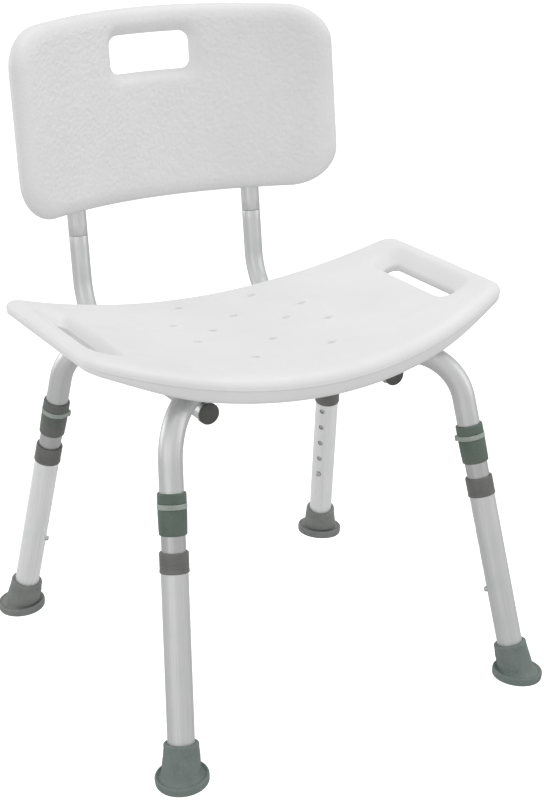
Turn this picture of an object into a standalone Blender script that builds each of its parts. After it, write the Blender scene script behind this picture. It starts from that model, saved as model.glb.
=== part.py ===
"""Shower stool with backrest: moulded seat and back on a crossed aluminium tube frame with telescoping legs."""

import math

import bmesh
import bpy
from mathutils import Matrix, Vector

# ---- driving dimensions, metres ----
SEAT_HALF_W = 0.253  # ends of the seat, at the parting ridge
SEAT_FRONT, SEAT_REAR = 0.1045, 0.1175  # distance of the front and rear edges at the corners
SEAT_BOW_F, SEAT_BOW_R = 0.054, 0.029  # outward bow of the front and rear edges
SEAT_CORNER_R = 0.024
RIDGE_Z, SEAT_SAG = 0.3875, 0.0445  # ridge height at mid width, and its rise to the ends
SEAT_TOP, SEAT_SKIRT = 0.0120, 0.0155  # top surface above, and rim below, the ridge
SEAT_DISH = 0.0030
SEAT_WALL = 0.0032
SLOT_X, SLOT_Y, SLOT_HALF_W, SLOT_HALF_L = 0.2135, 0.0040, 0.0110, 0.0630
DRAINS = [(0.048, 0.105), (0.0, 0.060), (0.083, 0.049), (0.047, 0.022), (0.083, -0.011),
          (0.0, -0.030), (0.047, -0.077)]

BACK_HALF_W, BACK_BOTTOM, BACK_TOP = 0.2030, 0.4940, 0.7165
BACK_THICK, BACK_SAG, BACK_LEAN = 0.0260, 0.085, 0.12
BACK_Y0, BACK_REF_Z = 0.2605, 0.600
BACK_R_TOP, BACK_R_BOTTOM = 0.042, 0.052
BACK_WALL = 0.0030
HAND_HALF_W, HAND_BOTTOM, HAND_TOP = 0.0515, 0.6425, 0.6865

TUBE_R, TUBE_WALL = 0.0127, 0.0016  # crossed frame tubes and inner legs
OUTER_R, OUTER_BORE = 0.0143, 0.01305
BAR_R, BAR_BORE = 0.0111, 0.0096
FRAME_Z, BAR_Z = 0.3787, 0.3545
BEND_R, BAR_BEND_R = 0.065, 0.070
BAR_X, BAR_FRONT = 0.1158, -0.0970
SEAM_Y, SEAM_Z, POST_LEAN = 0.2265, 0.4670, 0.12
SPIGOT = 0.042

LEG_FOOT_X, LEG_FOOT_Y = 0.2155, 0.2205  # leg axis at height zero
LEG_SPLAY_X, LEG_SPLAY_Y = 0.1027, 0.2447  # run of the axis per metre of height
BAND_Z = 0.2862  # height of the clip band on the upper sleeve
FLOOR_Z = 0.0042  # floor level in the heights above; the finished model stands on zero
CENTRE_Y = 0.01866  # middle of the whole depth in the coordinates above
HOLE_PITCH, HOLE_FIRST, HOLE_COUNT, HOLE_R = 0.0254, 0.0790, 5, 0.0036
BUTTON_T = HOLE_FIRST + HOLE_PITCH * (HOLE_COUNT - 1)
BUTTON_R = 0.0031
GAP = 0.0003
CORNERS = {"fl": (-1, -1), "fr": (1, -1), "bl": (-1, 1), "br": (1, 1)}

for old in list(bpy.data.objects):
    bpy.data.objects.remove(old, do_unlink=True)

scene = bpy.context.scene
stool = bpy.data.collections.new("shower_stool")
cutters = bpy.data.collections.new("shower_stool_cutters")
scene.collection.children.link(stool)
scene.collection.children.link(cutters)


def material(name, colour, rough, metal=0.0):
    m = bpy.data.materials.new(name)
    m.use_nodes = True
    bsdf = m.node_tree.nodes["Principled BSDF"]
    bsdf.inputs["Base Color"].default_value = (*colour, 1.0)
    bsdf.inputs["Roughness"].default_value = rough
    bsdf.inputs["Metallic"].default_value = metal
    return m


LOOKS = {
    "white_hdpe": ((0.80, 0.80, 0.79), 0.5, 0.0),
    "aluminium": ((0.62, 0.64, 0.64), 0.35, 1.0),
    "sleeve_plastic": ((0.11, 0.15, 0.12), 0.5, 0.0),
    "clip_plastic": ((0.45, 0.48, 0.46), 0.45, 0.0),
    "collar_plastic": ((0.15, 0.15, 0.15), 0.5, 0.0),
    "foot_rubber": ((0.19, 0.21, 0.20), 0.75, 0.0),
    "steel": ((0.55, 0.55, 0.56), 0.3, 1.0),
}


def add(name, mesh, look, at=None):
    obj = bpy.data.objects.new(name, mesh)
    if look:
        colour, rough, metal = LOOKS[look]
        mesh.materials.clear()
        mesh.materials.append(material(name + "_" + look, colour, rough, metal))
        stool.objects.link(obj)
    else:
        cutters.objects.link(obj)
        obj.hide_render = True
        obj.display_type = "WIRE"
    if at is not None:
        mesh.transform(Matrix.Translation(-Vector(at)))
        obj.location = at
    return obj


def mesh_of(name, bm):
    bmesh.ops.recalc_face_normals(bm, faces=bm.faces)
    mesh = bpy.data.meshes.new(name)
    bm.to_mesh(mesh)
    bm.free()
    return mesh


def cut(obj, cutter, operation="DIFFERENCE"):
    mod = obj.modifiers.new(operation.lower() + "_" + cutter.name, "BOOLEAN")
    mod.operation = operation
    mod.solver = "EXACT"
    mod.object = cutter


def frame_of(origin, axis, side):
    """Matrix carrying local Z to the axis and local X to the side direction."""
    z = Vector(axis).normalized()
    x = Vector(side) - z * Vector(side).dot(z)
    x.normalize()
    y = z.cross(x)
    rot = Matrix((x, y, z)).transposed().to_4x4()
    return Matrix.Translation(Vector(origin)) @ rot


def lathe(name, profile, matrix, steps=32):
    """Closed solid of revolution about local Z from (radius, z) pairs round one closed section."""
    bm = bmesh.new()
    rings = []
    for r, z in profile:
        if r < 1e-6:
            rings.append([bm.verts.new((0, 0, z))])
        else:
            rings.append([bm.verts.new((r * math.cos(t), r * math.sin(t), z))
                          for t in (2 * math.pi * (k + 0.5) / steps for k in range(steps))])
    for a, b in zip(rings, rings[1:] + rings[:1]):
        if len(a) == 1 and len(b) == 1:
            continue
        for k in range(steps):
            j = (k + 1) % steps
            if len(a) == 1:
                bm.faces.new((a[0], b[j], b[k]))
            elif len(b) == 1:
                bm.faces.new((a[k], a[j], b[0]))
            else:
                bm.faces.new((a[k], a[j], b[j], b[k]))
    bm.transform(matrix)
    return mesh_of(name, bm)


def pipe_profile(outer, bore, z0, z1, c=0.0004):
    return [(bore, z0), (outer - c, z0), (outer, z0 + c), (outer, z1 - c), (outer - c, z1), (bore, z1)]


def rod(name, radius, z0, z1, matrix, steps=24):
    return add(name, lathe(name, [(0, z0), (radius, z0), (radius, z1), (0, z1)], matrix, steps), None)


def pipe_mesh(name, points, outer, bore, steps):
    """Closed tube with open ends along a list of points: outer wall, bore and two end rings."""
    pts = [Vector(p) for p in points]
    tangents = []
    for k, p in enumerate(pts):
        before = (p - pts[k - 1]).normalized() if k else Vector((0, 0, 0))
        after = (pts[k + 1] - p).normalized() if k < len(pts) - 1 else Vector((0, 0, 0))
        tangents.append((before + after).normalized())
    normal = tangents[0].orthogonal().normalized()
    bm = bmesh.new()
    outs, ins = [], []
    for p, t in zip(pts, tangents):
        normal = (normal - t * normal.dot(t)).normalized()
        side = t.cross(normal)
        for r, rings in ((outer, outs), (bore, ins)):
            rings.append([bm.verts.new(p + r * (normal * math.cos(a) + side * math.sin(a)))
                          for a in (2 * math.pi * k / steps for k in range(steps))])
    for rings in (outs, ins):
        for a, b in zip(rings, rings[1:]):
            for k in range(steps):
                j = (k + 1) % steps
                bm.faces.new((a[k], a[j], b[j], b[k]))
    for end in (0, -1):
        for k in range(steps):
            j = (k + 1) % steps
            bm.faces.new((outs[end][k], outs[end][j], ins[end][j], ins[end][k]))
    return mesh_of(name, bm)


def fillet(path, radii, pieces):
    """Points along a polyline whose inner corners are replaced by arcs."""
    pts = [Vector(p) for p in path]
    out = [pts[0]]
    for k in range(1, len(pts) - 1):
        a, p, b, r = pts[k - 1], pts[k], pts[k + 1], radii[k - 1]
        u, v = (a - p).normalized(), (b - p).normalized()
        half = u.angle(v) / 2
        reach = r / math.tan(half)
        centre = p + (u + v).normalized() * (r / math.sin(half))
        start, end = p + u * reach - centre, p + v * reach - centre
        turn = start.angle(end)
        for i in range(pieces + 1):
            f = i / pieces
            w = (start * math.sin((1 - f) * turn) + end * math.sin(f * turn)) / math.sin(turn)
            out.append(centre + w)
    out.append(pts[-1])
    return out


def ridge_z(x):
    return RIDGE_Z + SEAT_SAG * (x / SEAT_HALF_W) ** 2


# ---- outlines ----
def seat_outline(inset=0.0, count_long=12, count_end=3, count_corner=4):
    """Counter-clockwise points of the bowed seat outline."""
    hw, r = SEAT_HALF_W - inset, max(SEAT_CORNER_R - inset, 0.004)

    def edge(x, sign):
        bow = SEAT_BOW_R if sign > 0 else SEAT_BOW_F
        reach = SEAT_REAR if sign > 0 else SEAT_FRONT
        return sign * (reach + bow * (1 - (x / SEAT_HALF_W) ** 2) - inset)

    out = []
    inner = hw - r
    front = [(inner * (2 * k / count_long - 1), -1) for k in range(count_long + 1)]
    rear = [(-x, 1) for x, _ in front]

    def corner(xs, sign):
        y_edge = edge(xs * inner, sign)
        slope = (edge(xs * inner, sign) - edge(xs * (inner - 0.001), sign)) / (xs * 0.001)
        normal = Vector((-slope, 1.0, 0)).normalized() * sign
        centre = Vector((xs * inner, y_edge, 0)) - normal * r
        centre.x = xs * (hw - r)
        a0 = math.atan2(normal.y, normal.x)
        a1 = 0.0 if xs > 0 else math.pi
        if xs < 0 and sign < 0:
            a1 = -math.pi
        return centre, a0, a1

    for x, s in front:
        out.append((x, edge(x, s)))
    c, a0, a1 = corner(1, -1)
    for k in range(1, count_corner + 1):
        a = a0 + (a1 - a0) * k / count_corner
        out.append((c.x + r * math.cos(a), c.y + r * math.sin(a)))
    y_low = out[-1][1]
    c2, b0, b1 = corner(1, 1)
    y_high = c2.y
    for k in range(1, count_end):
        out.append((hw, y_low + (y_high - y_low) * k / count_end))
    for k in range(count_corner + 1):
        a = b1 + (b0 - b1) * k / count_corner
        out.append((c2.x + r * math.cos(a), c2.y + r * math.sin(a)))
    for x, s in rear[1:]:
        out.append((x, edge(x, s)))
    c3, a0, a1 = corner(-1, 1)
    for k in range(1, count_corner + 1):
        a = a0 + (a1 - a0) * k / count_corner
        out.append((c3.x + r * math.cos(a), c3.y + r * math.sin(a)))
    y_high = out[-1][1]
    c4, b0, b1 = corner(-1, -1)
    for k in range(1, count_end):
        out.append((-hw, y_high + (c4.y - y_high) * k / count_end))
    for k in range(count_corner):
        a = b1 + (b0 - b1) * k / count_corner
        out.append((c4.x + r * math.cos(a), c4.y + r * math.sin(a)))
    return out


def pancake(name, outline, section, place):
    """Closed body from rings: each section entry is (kind, amount, height), and the ends close on a fan."""
    centre = Vector((0, 0, 0))
    for x, y in outline:
        centre += Vector((x, y, 0)) / len(outline)
    n = len(outline)
    normals = []
    for k in range(n):
        a, b = outline[k - 1], outline[(k + 1) % n]
        t = Vector((b[0] - a[0], b[1] - a[1], 0)).normalized()
        normals.append(Vector((-t.y, t.x, 0)))
    bm = bmesh.new()
    rings = []
    for kind, amount, height in section:
        ring = []
        for k, (x, y) in enumerate(outline):
            p = Vector((x, y, 0))
            if kind == "inset":
                q = p + normals[k] * amount
            else:
                q = centre + (p - centre) * amount
            ring.append(bm.verts.new(place(q.x, q.y, height)))
        rings.append(ring)
    for a, b in zip(rings, rings[1:]):
        for k in range(n):
            j = (k + 1) % n
            bm.faces.new((a[k], a[j], b[j], b[k]))
    for ring, height in ((rings[0], section[0][2]), (rings[-1], section[-1][2])):
        middle = bm.verts.new(place(centre.x, centre.y, height))
        for k in range(n):
            bm.faces.new((ring[k], ring[(k + 1) % n], middle))
    return mesh_of(name, bm)


def prism(name, outline, z0, z1, place):
    """Closed prism over an outline, between two heights."""
    n = len(outline)
    bm = bmesh.new()
    low = [bm.verts.new(place(x, y, z0)) for x, y in outline]
    high = [bm.verts.new(place(x, y, z1)) for x, y in outline]
    for k in range(n):
        j = (k + 1) % n
        bm.faces.new((low[k], low[j], high[j], high[k]))
    bm.faces.new(list(reversed(low)))
    bm.faces.new(high)
    return mesh_of(name, bm)


def rounded(hx, hy, r, pieces=4, cx=0.0, cy=0.0):
    out = []
    for sx, sy, a0 in ((1, 1, 0), (-1, 1, 90), (-1, -1, 180), (1, -1, 270)):
        for k in range(pieces + 1):
            a = math.radians(a0 + 90 * k / pieces)
            out.append((cx + sx * (hx - r) + r * math.cos(a), cy + sy * (hy - r) + r * math.sin(a)))
    return out


# ---- seat ----
def seat_place(x, y, h):
    return Vector((x, y, ridge_z(x) + h))


def seat_section(shrink):
    """Rings from the middle of the top, over the edge and back to the middle of the underside."""
    t, s, w = SEAT_TOP, SEAT_SKIRT, shrink
    return [("scale", 0.30, t - SEAT_DISH - w), ("scale", 0.62, t - SEAT_DISH * 0.8 - w),
            ("inset", 0.034 + w * 0.4, t - 0.0010 - w), ("inset", 0.022 + w * 0.5, t - w),
            ("inset", 0.0125 + w * 0.7, t - 0.0006 - w), ("inset", 0.0070 + w, t - 0.0025 - w),
            ("inset", 0.0028 + w, t - 0.0062 - w * 0.6), ("inset", 0.0006 + w, t - 0.0102 - w * 0.3),
            ("inset", w, 0.0006), ("inset", w + 0.0004, -0.0010), ("inset", w + 0.0018, -0.0022),
            ("inset", w + 0.0024, -s + 0.0022 + w), ("inset", w + 0.0044, -s + w),
            ("inset", 0.010 + w * 0.7, -s + w), ("inset", 0.016 + w * 0.5, -s + 0.0030 + w),
            ("scale", 0.55, -s + 0.0035 + w)]


def thin_out(section, keep):
    """A coarser section, with only the numbered rings."""
    return [section[k] for k in keep]


outline = seat_outline()
seat = add("seat", pancake("seat", outline, seat_section(0.0), seat_place), "white_hdpe", (0, 0, RIDGE_Z))

diag = math.atan2(LEG_FOOT_Y - LEG_SPLAY_Y * FRAME_Z, LEG_FOOT_X - LEG_SPLAY_X * FRAME_Z)
DIAGONALS = {"a": Vector((math.cos(diag), math.sin(diag), 0)),
             "b": Vector((math.cos(diag), -math.sin(diag), 0))}


def channel(name, direction, half_w, top_z, half_l, low_z=0.335):
    """Groove body for a frame tube: half-round top and straight sides, along one diagonal."""
    side = Vector((-direction.y, direction.x, 0))
    arc = [(half_w * math.cos(math.pi * k / 6), half_w * math.sin(math.pi * k / 6)) for k in range(7)]
    section = arc + [(-half_w, low_z - (top_z - half_w)), (half_w, low_z - (top_z - half_w))]
    bm = bmesh.new()
    ends = []
    for s in (-half_l, half_l):
        ends.append([bm.verts.new(direction * s + side * u + Vector((0, 0, top_z - half_w + v)))
                     for u, v in section])
    n = len(section)
    for k in range(n):
        j = (k + 1) % n
        bm.faces.new((ends[0][k], ends[0][j], ends[1][j], ends[1][k]))
    bm.faces.new(ends[0])
    bm.faces.new(ends[1])
    return add(name, mesh_of(name, bm), None)


def slot_funnel(name, sign, wall):
    """Drafted handle opening: narrow in the middle of the thickness, flared to both faces."""
    cx = sign * SLOT_X
    profile = [(-0.040, 0.0095), (-0.0165, 0.0095), (-0.0080, 0.0025), (-0.0020, 0.0),
               (0.0020, 0.0), (0.0075, 0.0022), (0.0115, 0.0065), (0.030, 0.0065)]
    bm = bmesh.new()
    rings = []
    for h, flare in profile:
        long_flare = flare * 1.7
        pts = rounded(SLOT_HALF_W + flare + wall, SLOT_HALF_L + long_flare + wall,
                      0.009 + flare * 0.8 + wall, 3, cx, SLOT_Y)
        rings.append([bm.verts.new(seat_place(x, y, h)) for x, y in pts])
    n = len(rings[0])
    for a, b in zip(rings, rings[1:]):
        for k in range(n):
            j = (k + 1) % n
            bm.faces.new((a[k], a[j], b[j], b[k]))
    bm.faces.new(list(reversed(rings[0])))
    bm.faces.new(rings[-1])
    return add(name, mesh_of(name, bm), None)


cavity_section = thin_out(seat_section(SEAT_WALL), (0, 1, 2, 4, 6, 8, 11, 12, 14, 15))
cavity = add("seat_cavity", pancake("seat_cavity", seat_outline(0, 8, 2, 2), cavity_section, seat_place), None)
for key, direction in DIAGONALS.items():
    cut(cavity, channel("channel_wall_" + key, direction, TUBE_R + 0.0008 + 0.0028, FRAME_Z + TUBE_R + 0.0036,
                        0.30))
for sign, key in ((-1, "l"), (1, "r")):
    cut(cavity, slot_funnel("slot_wall_" + key, sign, 0.0030))
SCREW_S = 0.078
RIVET_S = BAR_X / math.cos(diag)
for key, direction in DIAGONALS.items():
    for s in (-1, 1):
        p = direction * (s * SCREW_S)
        boss = rod(f"screw_boss_{key}{s + 1}", 0.0085, 0.34, 0.43, Matrix.Translation((p.x, p.y, 0)), 12)
        cut(cavity, boss)
cut(seat, cavity)
for sign, key in ((-1, "l"), (1, "r")):
    cut(seat, slot_funnel("slot_cut_" + key, sign, 0.0))
for key, direction in DIAGONALS.items():
    cut(seat, channel("channel_cut_" + key, direction, TUBE_R + 0.0008, FRAME_Z + TUBE_R + 0.0008, 0.185))
    for s in (-1, 1):
        p = direction * (s * SCREW_S)
        cut(seat, rod(f"screw_hole_{key}{s + 1}", 0.0034, 0.36, FRAME_Z + TUBE_R + 0.0056,
                      Matrix.Translation((p.x, p.y, 0)), 12))
        q = direction * (s * RIVET_S)
        cut(seat, rod(f"rivet_pocket_{key}{s + 1}", 0.0065, 0.36, FRAME_Z + TUBE_R + 0.0048,
                      Matrix.Translation((q.x, q.y, 0)), 12))
for k, (x, y) in enumerate(DRAINS):
    for sign in ((-1, 1) if x else (1,)):
        top = ridge_z(x) + SEAT_TOP
        cut(seat, rod(f"drain_{k}_{sign + 1}", 0.0022, top - 0.0040, top + 0.004,
                      Matrix.Translation((sign * x, y, 0)), 8))


# ---- backrest ----
def back_place(x, v, h):
    """x across, v = height of the point, h = distance forward of the middle surface."""
    slope = -2 * BACK_SAG * x / BACK_HALF_W ** 2
    normal = Vector((slope, -1.0, BACK_LEAN)).normalized()
    mid = Vector((x, BACK_Y0 - BACK_SAG * (x / BACK_HALF_W) ** 2 + BACK_LEAN * (v - BACK_REF_Z), v))
    return mid + normal * h


def back_outline(count_corner=4, count_side=2, count_long=10):
    """Outline of the back in x and height, with slightly crowned top and bottom edges."""
    hw = BACK_HALF_W

    def top(x):
        return BACK_TOP - 0.003 * (x / hw) ** 2

    def bottom(x):
        return BACK_BOTTOM + 0.009 * (x / hw) ** 2

    rt, rb = BACK_R_TOP, BACK_R_BOTTOM
    out = []
    for k in range(count_long + 1):
        x = -(hw - rb) + 2 * (hw - rb) * k / count_long
        out.append((x, bottom(x)))
    zb = bottom(hw - rb) + rb
    out += [(hw - rb + rb * math.sin(a), zb - rb * math.cos(a))
            for a in (math.pi / 2 * k / count_corner for k in range(1, count_corner + 1))]
    zt = top(hw - rt) - rt
    out += [(hw, zb + (zt - zb) * k / count_side) for k in range(1, count_side)]
    out += [(hw - rt + rt * math.cos(a), zt + rt * math.sin(a))
            for a in (math.pi / 2 * k / count_corner for k in range(count_corner + 1))]
    for k in range(1, count_long):
        x = (hw - rt) - 2 * (hw - rt) * k / count_long
        out.append((x, top(x)))
    out += [(-(hw - rt) - rt * math.sin(a), zt + rt * math.cos(a))
            for a in (math.pi / 2 * k / count_corner for k in range(count_corner + 1))]
    out += [(-hw, zt + (zb - zt) * k / count_side) for k in range(1, count_side)]
    out += [(-(hw - rb) - rb * math.cos(a), zb - rb * math.sin(a))
            for a in (math.pi / 2 * k / count_corner for k in range(count_corner))]
    return out


def back_section(w):
    h = BACK_THICK / 2
    return [("scale", 0.25, h - w), ("scale", 0.55, h - w), ("scale", 0.78, h - w),
            ("inset", 0.022 + w * 0.5, h - w), ("inset", 0.013 + w * 0.7, h - 0.0010 - w),
            ("inset", 0.0068 + w, h - 0.0036 - w * 0.8), ("inset", 0.0026 + w, h - 0.0075 - w * 0.4),
            ("inset", w, 0.0), ("inset", 0.0026 + w, 0.0075 - h + w * 0.4),
            ("inset", 0.0068 + w, 0.0036 - h + w * 0.8), ("inset", 0.013 + w * 0.7, 0.0010 - h + w),
            ("inset", 0.022 + w * 0.5, w - h), ("scale", 0.78, w - h), ("scale", 0.55, w - h),
            ("scale", 0.25, w - h)]


def back_prism(name, outline_at, levels):
    """Drafted opening through the back: outline_at(level) gives x, height points for each depth level."""
    bm = bmesh.new()
    rings = [[bm.verts.new(back_place(x, v, h)) for x, v in outline_at(flare)] for h, flare in levels]
    n = len(rings[0])
    for a, b in zip(rings, rings[1:]):
        for k in range(n):
            j = (k + 1) % n
            bm.faces.new((a[k], a[j], b[j], b[k]))
    bm.faces.new(list(reversed(rings[0])))
    bm.faces.new(rings[-1])
    return add(name, mesh_of(name, bm), None)


def hand_outline(flare):
    mid = (HAND_BOTTOM + HAND_TOP) / 2
    return rounded(HAND_HALF_W + flare, (HAND_TOP - HAND_BOTTOM) / 2 + flare, 0.0085 + flare * 0.9, 3, 0.0, mid)


HAND_LEVELS = [(-0.030, 0.0100), (-0.0142, 0.0100), (-0.0105, 0.0035), (-0.0040, 0.0),
               (0.0040, 0.0), (0.0105, 0.0035), (0.0142, 0.0100), (0.030, 0.0100)]
POST_TOP = 0.630
post_axis = Vector((0, POST_LEAN, 1)).normalized()


def post_frame(sign):
    return frame_of((sign * BAR_X, SEAM_Y, SEAM_Z), post_axis, (0, 1, 0))


back = add("backrest", pancake("backrest", back_outline(), back_section(0.0), back_place), "white_hdpe",
           (0, BACK_Y0, BACK_REF_Z))
post_len = (POST_TOP - SEAM_Z) / post_axis.z
entry = (BACK_BOTTOM - SEAM_Z) / post_axis.z
for sign, key in ((-1, "l"), (1, "r")):
    boss = add("back_boss_" + key, lathe("back_boss_" + key, [
        (0, entry + 0.0032), (0.0138, entry + 0.0032), (0.0150, entry + 0.0060), (0.0150, post_len + 0.002),
        (0.0110, post_len + 0.012), (0, post_len + 0.014)], post_frame(sign), 16), None)
    cut(back, boss, "UNION")
hollow_section = thin_out(back_section(BACK_WALL), (0, 1, 2, 3, 5, 7, 9, 11, 12, 13, 14))
hollow = add("back_cavity", pancake("back_cavity", back_outline(2, 2, 8), hollow_section, back_place), None)
cut(hollow, back_prism("hand_wall", lambda f: hand_outline(f + BACK_WALL), HAND_LEVELS))
for sign, key in ((-1, "l"), (1, "r")):
    sock = add("socket_wall_" + key, lathe("socket_wall_" + key, [
        (0, -0.02), (BAR_R + 0.0030, -0.02), (BAR_R + 0.0030, post_len + 0.0034), (0, post_len + 0.0034)],
        post_frame(sign), 14), None)
    cut(hollow, sock)
cut(back, hollow)
cut(back, back_prism("hand_cut", hand_outline, HAND_LEVELS))
for sign, key in ((-1, "l"), (1, "r")):
    bore = add("socket_bore_" + key, lathe("socket_bore_" + key, [
        (0, -0.02), (BAR_R + GAP, -0.02), (BAR_R + GAP, post_len + GAP), (0, post_len + GAP)],
        post_frame(sign), 20), None)
    cut(back, bore)
    vent = rod("vent_" + key, 0.0030, post_len - 0.02, post_len + 0.006, post_frame(sign), 10)
    cut(back, vent)

# ---- crossed frame tubes ----
leg_scale = math.sqrt(1 + LEG_SPLAY_X ** 2 + LEG_SPLAY_Y ** 2)


def leg_axis(key):
    sx, sy = CORNERS[key]
    return Vector((sx * LEG_SPLAY_X, sy * LEG_SPLAY_Y, -1.0)).normalized()


def leg_point(key, z):
    sx, sy = CORNERS[key]
    return Vector((sx * (LEG_FOOT_X - LEG_SPLAY_X * z), sy * (LEG_FOOT_Y - LEG_SPLAY_Y * z), z))


def inward(key):
    sx, sy = CORNERS[key]
    return Vector((-sx * math.cos(diag), -sy * math.sin(diag), 0))


def leg_frame(key):
    """Local Z down the leg from the clip band, local X inwards."""
    return frame_of(leg_point(key, BAND_Z), leg_axis(key), inward(key))


JOIN_T = 0.0035
DIP = 2 * TUBE_R + 0.0012
for name, first, last, dip in (("cross_tube_a", "fl", "br", 0.0), ("cross_tube_b", "bl", "fr", DIP)):
    start = leg_point(first, BAND_Z) + leg_axis(first) * JOIN_T
    end = leg_point(last, BAND_Z) + leg_axis(last) * JOIN_T
    c1, c2 = leg_point(first, FRAME_Z), leg_point(last, FRAME_Z)
    along = (c2 - c1).normalized()
    middle = (c1 + c2) / 2
    if dip:
        low = Vector((0, 0, -dip))
        path = [start, c1, middle - along * 0.056, middle - along * 0.022 + low, middle + along * 0.022 + low,
                middle + along * 0.056, c2, end]
        radii = [BEND_R, 0.040, 0.040, 0.040, 0.040, BEND_R]
        points = fillet([path[0], path[1], path[2]], [BEND_R], 4)[:-1]
        mid = fillet(path[1:-1], radii[1:-1], 1)[1:-1]
        tail = fillet([path[-3], path[-2], path[-1]], [BEND_R], 4)[1:]
        points = points + mid + tail
    else:
        points = fillet([start, c1, c2, end], [BEND_R, BEND_R], 4)
    tube = add(name, pipe_mesh(name, points, TUBE_R, TUBE_R - TUBE_WALL, 16), "aluminium", middle)
    for s in (-1, 1):
        p = middle + along * (s * SCREW_S)
        cut(tube, rod(f"{name}_screw_way{s + 1}", 0.0034, -0.02, 0.02, Matrix.Translation(p), 8))
        q = middle + along * (s * RIVET_S)
        cut(tube, rod(f"{name}_rivet_way{s + 1}", 0.0028, -0.02, 0.02, Matrix.Translation(q), 8))
    for s, corner_key in ((-1, first), (1, last)):
        p = middle + along * (s * SCREW_S)
        under = FRAME_Z - TUBE_R
        profile = [(0, under - 0.0034), (0.0040, under - 0.0034), (0.0056, under - 0.0018),
                   (0.0058, under - GAP),
                   (0.0030, under - GAP), (0.0030, FRAME_Z + TUBE_R + 0.0050), (0, FRAME_Z + TUBE_R + 0.0050)]
        add("seat_screw_" + corner_key, lathe("seat_screw_" + corner_key, profile,
                                              Matrix.Translation((p.x, p.y, 0)), 12), "steel")
        q = middle + along * (s * RIVET_S)
        top, low_z = FRAME_Z + TUBE_R, BAR_Z - BAR_R
        profile = [(0, low_z - 0.0026), (0.0034, low_z - 0.0022), (0.0050, low_z - GAP), (0.0024, low_z - GAP),
                   (0.0024, top + GAP), (0.0050, top + GAP), (0.0034, top + 0.0022), (0, top + 0.0026)]
        add("bar_rivet_" + corner_key, lathe("bar_rivet_" + corner_key, profile,
                                             Matrix.Translation((q.x, q.y, 0)), 12), "steel")

# ---- back bars, caps and upper posts ----
for sign, key in ((-1, "l"), (1, "r")):
    x = sign * BAR_X
    corner_y = SEAM_Y + POST_LEAN * (BAR_Z - SEAM_Z)
    points = fillet([(x, BAR_FRONT, BAR_Z), (x, corner_y, BAR_Z), (x, SEAM_Y, SEAM_Z)], [BAR_BEND_R], 5)
    bar = add("back_bar_" + key, pipe_mesh("back_bar_" + key, points, BAR_R, BAR_BORE, 16), "aluminium",
              (x, SEAM_Y, SEAM_Z))
    for d, label in ((-1, "f"), (1, "b")):
        q = RIVET_S * math.sin(diag) * d
        cut(bar, rod(f"bar_rivet_way_{key}{label}", 0.0028, -0.02, 0.02, Matrix.Translation((x, q, BAR_Z)), 8))
    frame = post_frame(sign)
    side = frame @ Matrix.Translation((0, 0, -0.022)) @ Matrix.Rotation(math.pi / 2, 4, "Y")
    cut(bar, rod("back_button_way_" + key, HOLE_R, 0.0, 0.03, side, 10))
    front = frame_of((x, BAR_FRONT, BAR_Z), (0, -1, 0), (1, 0, 0))
    cap_profile = [(0, -0.0070), (0.0085, -0.0070), (0.0092, -0.0050), (0.0092, GAP), (0.0112, GAP),
                   (0.0118, 0.0010), (0.0118, 0.0026), (0.0106, 0.0036), (0, 0.0040)]
    cap = lathe("bar_cap_" + key, cap_profile, front, 16)
    add("bar_cap_" + key, cap, "collar_plastic", (x, BAR_FRONT, BAR_Z))
    r_in = 0.0076
    post_profile = [(r_in, -SPIGOT), (0.0089, -SPIGOT), (0.0092, -SPIGOT + 0.001), (0.0092, GAP),
                    (BAR_R - 0.0006, GAP), (BAR_R, GAP + 0.0006), (BAR_R, post_len - 0.0006),
                    (BAR_R - 0.0006, post_len), (r_in, post_len)]
    post = add("back_post_" + key, lathe("back_post_" + key, post_profile, frame, 16), "aluminium",
               (x, SEAM_Y, SEAM_Z))
    cut(post, rod("post_button_way_" + key, HOLE_R, 0.0, 0.03, side, 10))
    back_button = [(0, 0.0046), (0.0038, 0.0046), (0.0038, 0.0056), (BUTTON_R, 0.0056), (BUTTON_R, 0.0123),
                   (0.0020, 0.0134), (0, 0.0138)]
    add("back_button_" + key, lathe("back_button_" + key, back_button, side, 12), "steel",
        side @ Vector((0, 0, 0.0111)))


def leaf(name, matrix, reach, hold, length, width):
    """Folded leaf spring in the local X-Z plane: one arm under the button, one along the far wall."""
    t = 0.0005
    line = [(reach, -0.004), (reach, 0.005), (reach - 0.0015, 0.009), (-hold + 0.004, length - 0.002),
            (-hold + 0.0015, length), (-hold, length - 0.003), (-hold, 0.004)]
    left, right = [], []
    for k, (x, z) in enumerate(line):
        a = Vector(line[max(k - 1, 0)])
        b = Vector(line[min(k + 1, len(line) - 1)])
        d = (b - a).normalized()
        n = Vector((-d.y, d.x)) * t / 2
        left.append((x + n.x, z + n.y))
        right.append((x - n.x, z - n.y))
    loop = left + right[::-1]
    bm = bmesh.new()
    near = [bm.verts.new((x, -width / 2, z)) for x, z in loop]
    far = [bm.verts.new((x, width / 2, z)) for x, z in loop]
    n = len(loop)
    for k in range(n):
        j = (k + 1) % n
        bm.faces.new((near[k], near[j], far[j], far[k]))
    m = len(left)
    for k in range(m - 1):
        q = [near[k], near[k + 1], near[n - 2 - k], near[n - 1 - k]]
        bm.faces.new(q)
        bm.faces.new(list(reversed([far[k], far[k + 1], far[n - 2 - k], far[n - 1 - k]])))
    bm.transform(matrix)
    return mesh_of(name, bm)


for sign, key in ((-1, "l"), (1, "r")):
    frame = post_frame(sign) @ Matrix.Translation((0, 0, -0.022)) @ Matrix.Rotation(math.pi, 4, "X")
    name = "back_spring_" + key
    add(name, leaf(name, frame, 0.0040, 0.0063, 0.018, 0.005), "steel")

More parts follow.
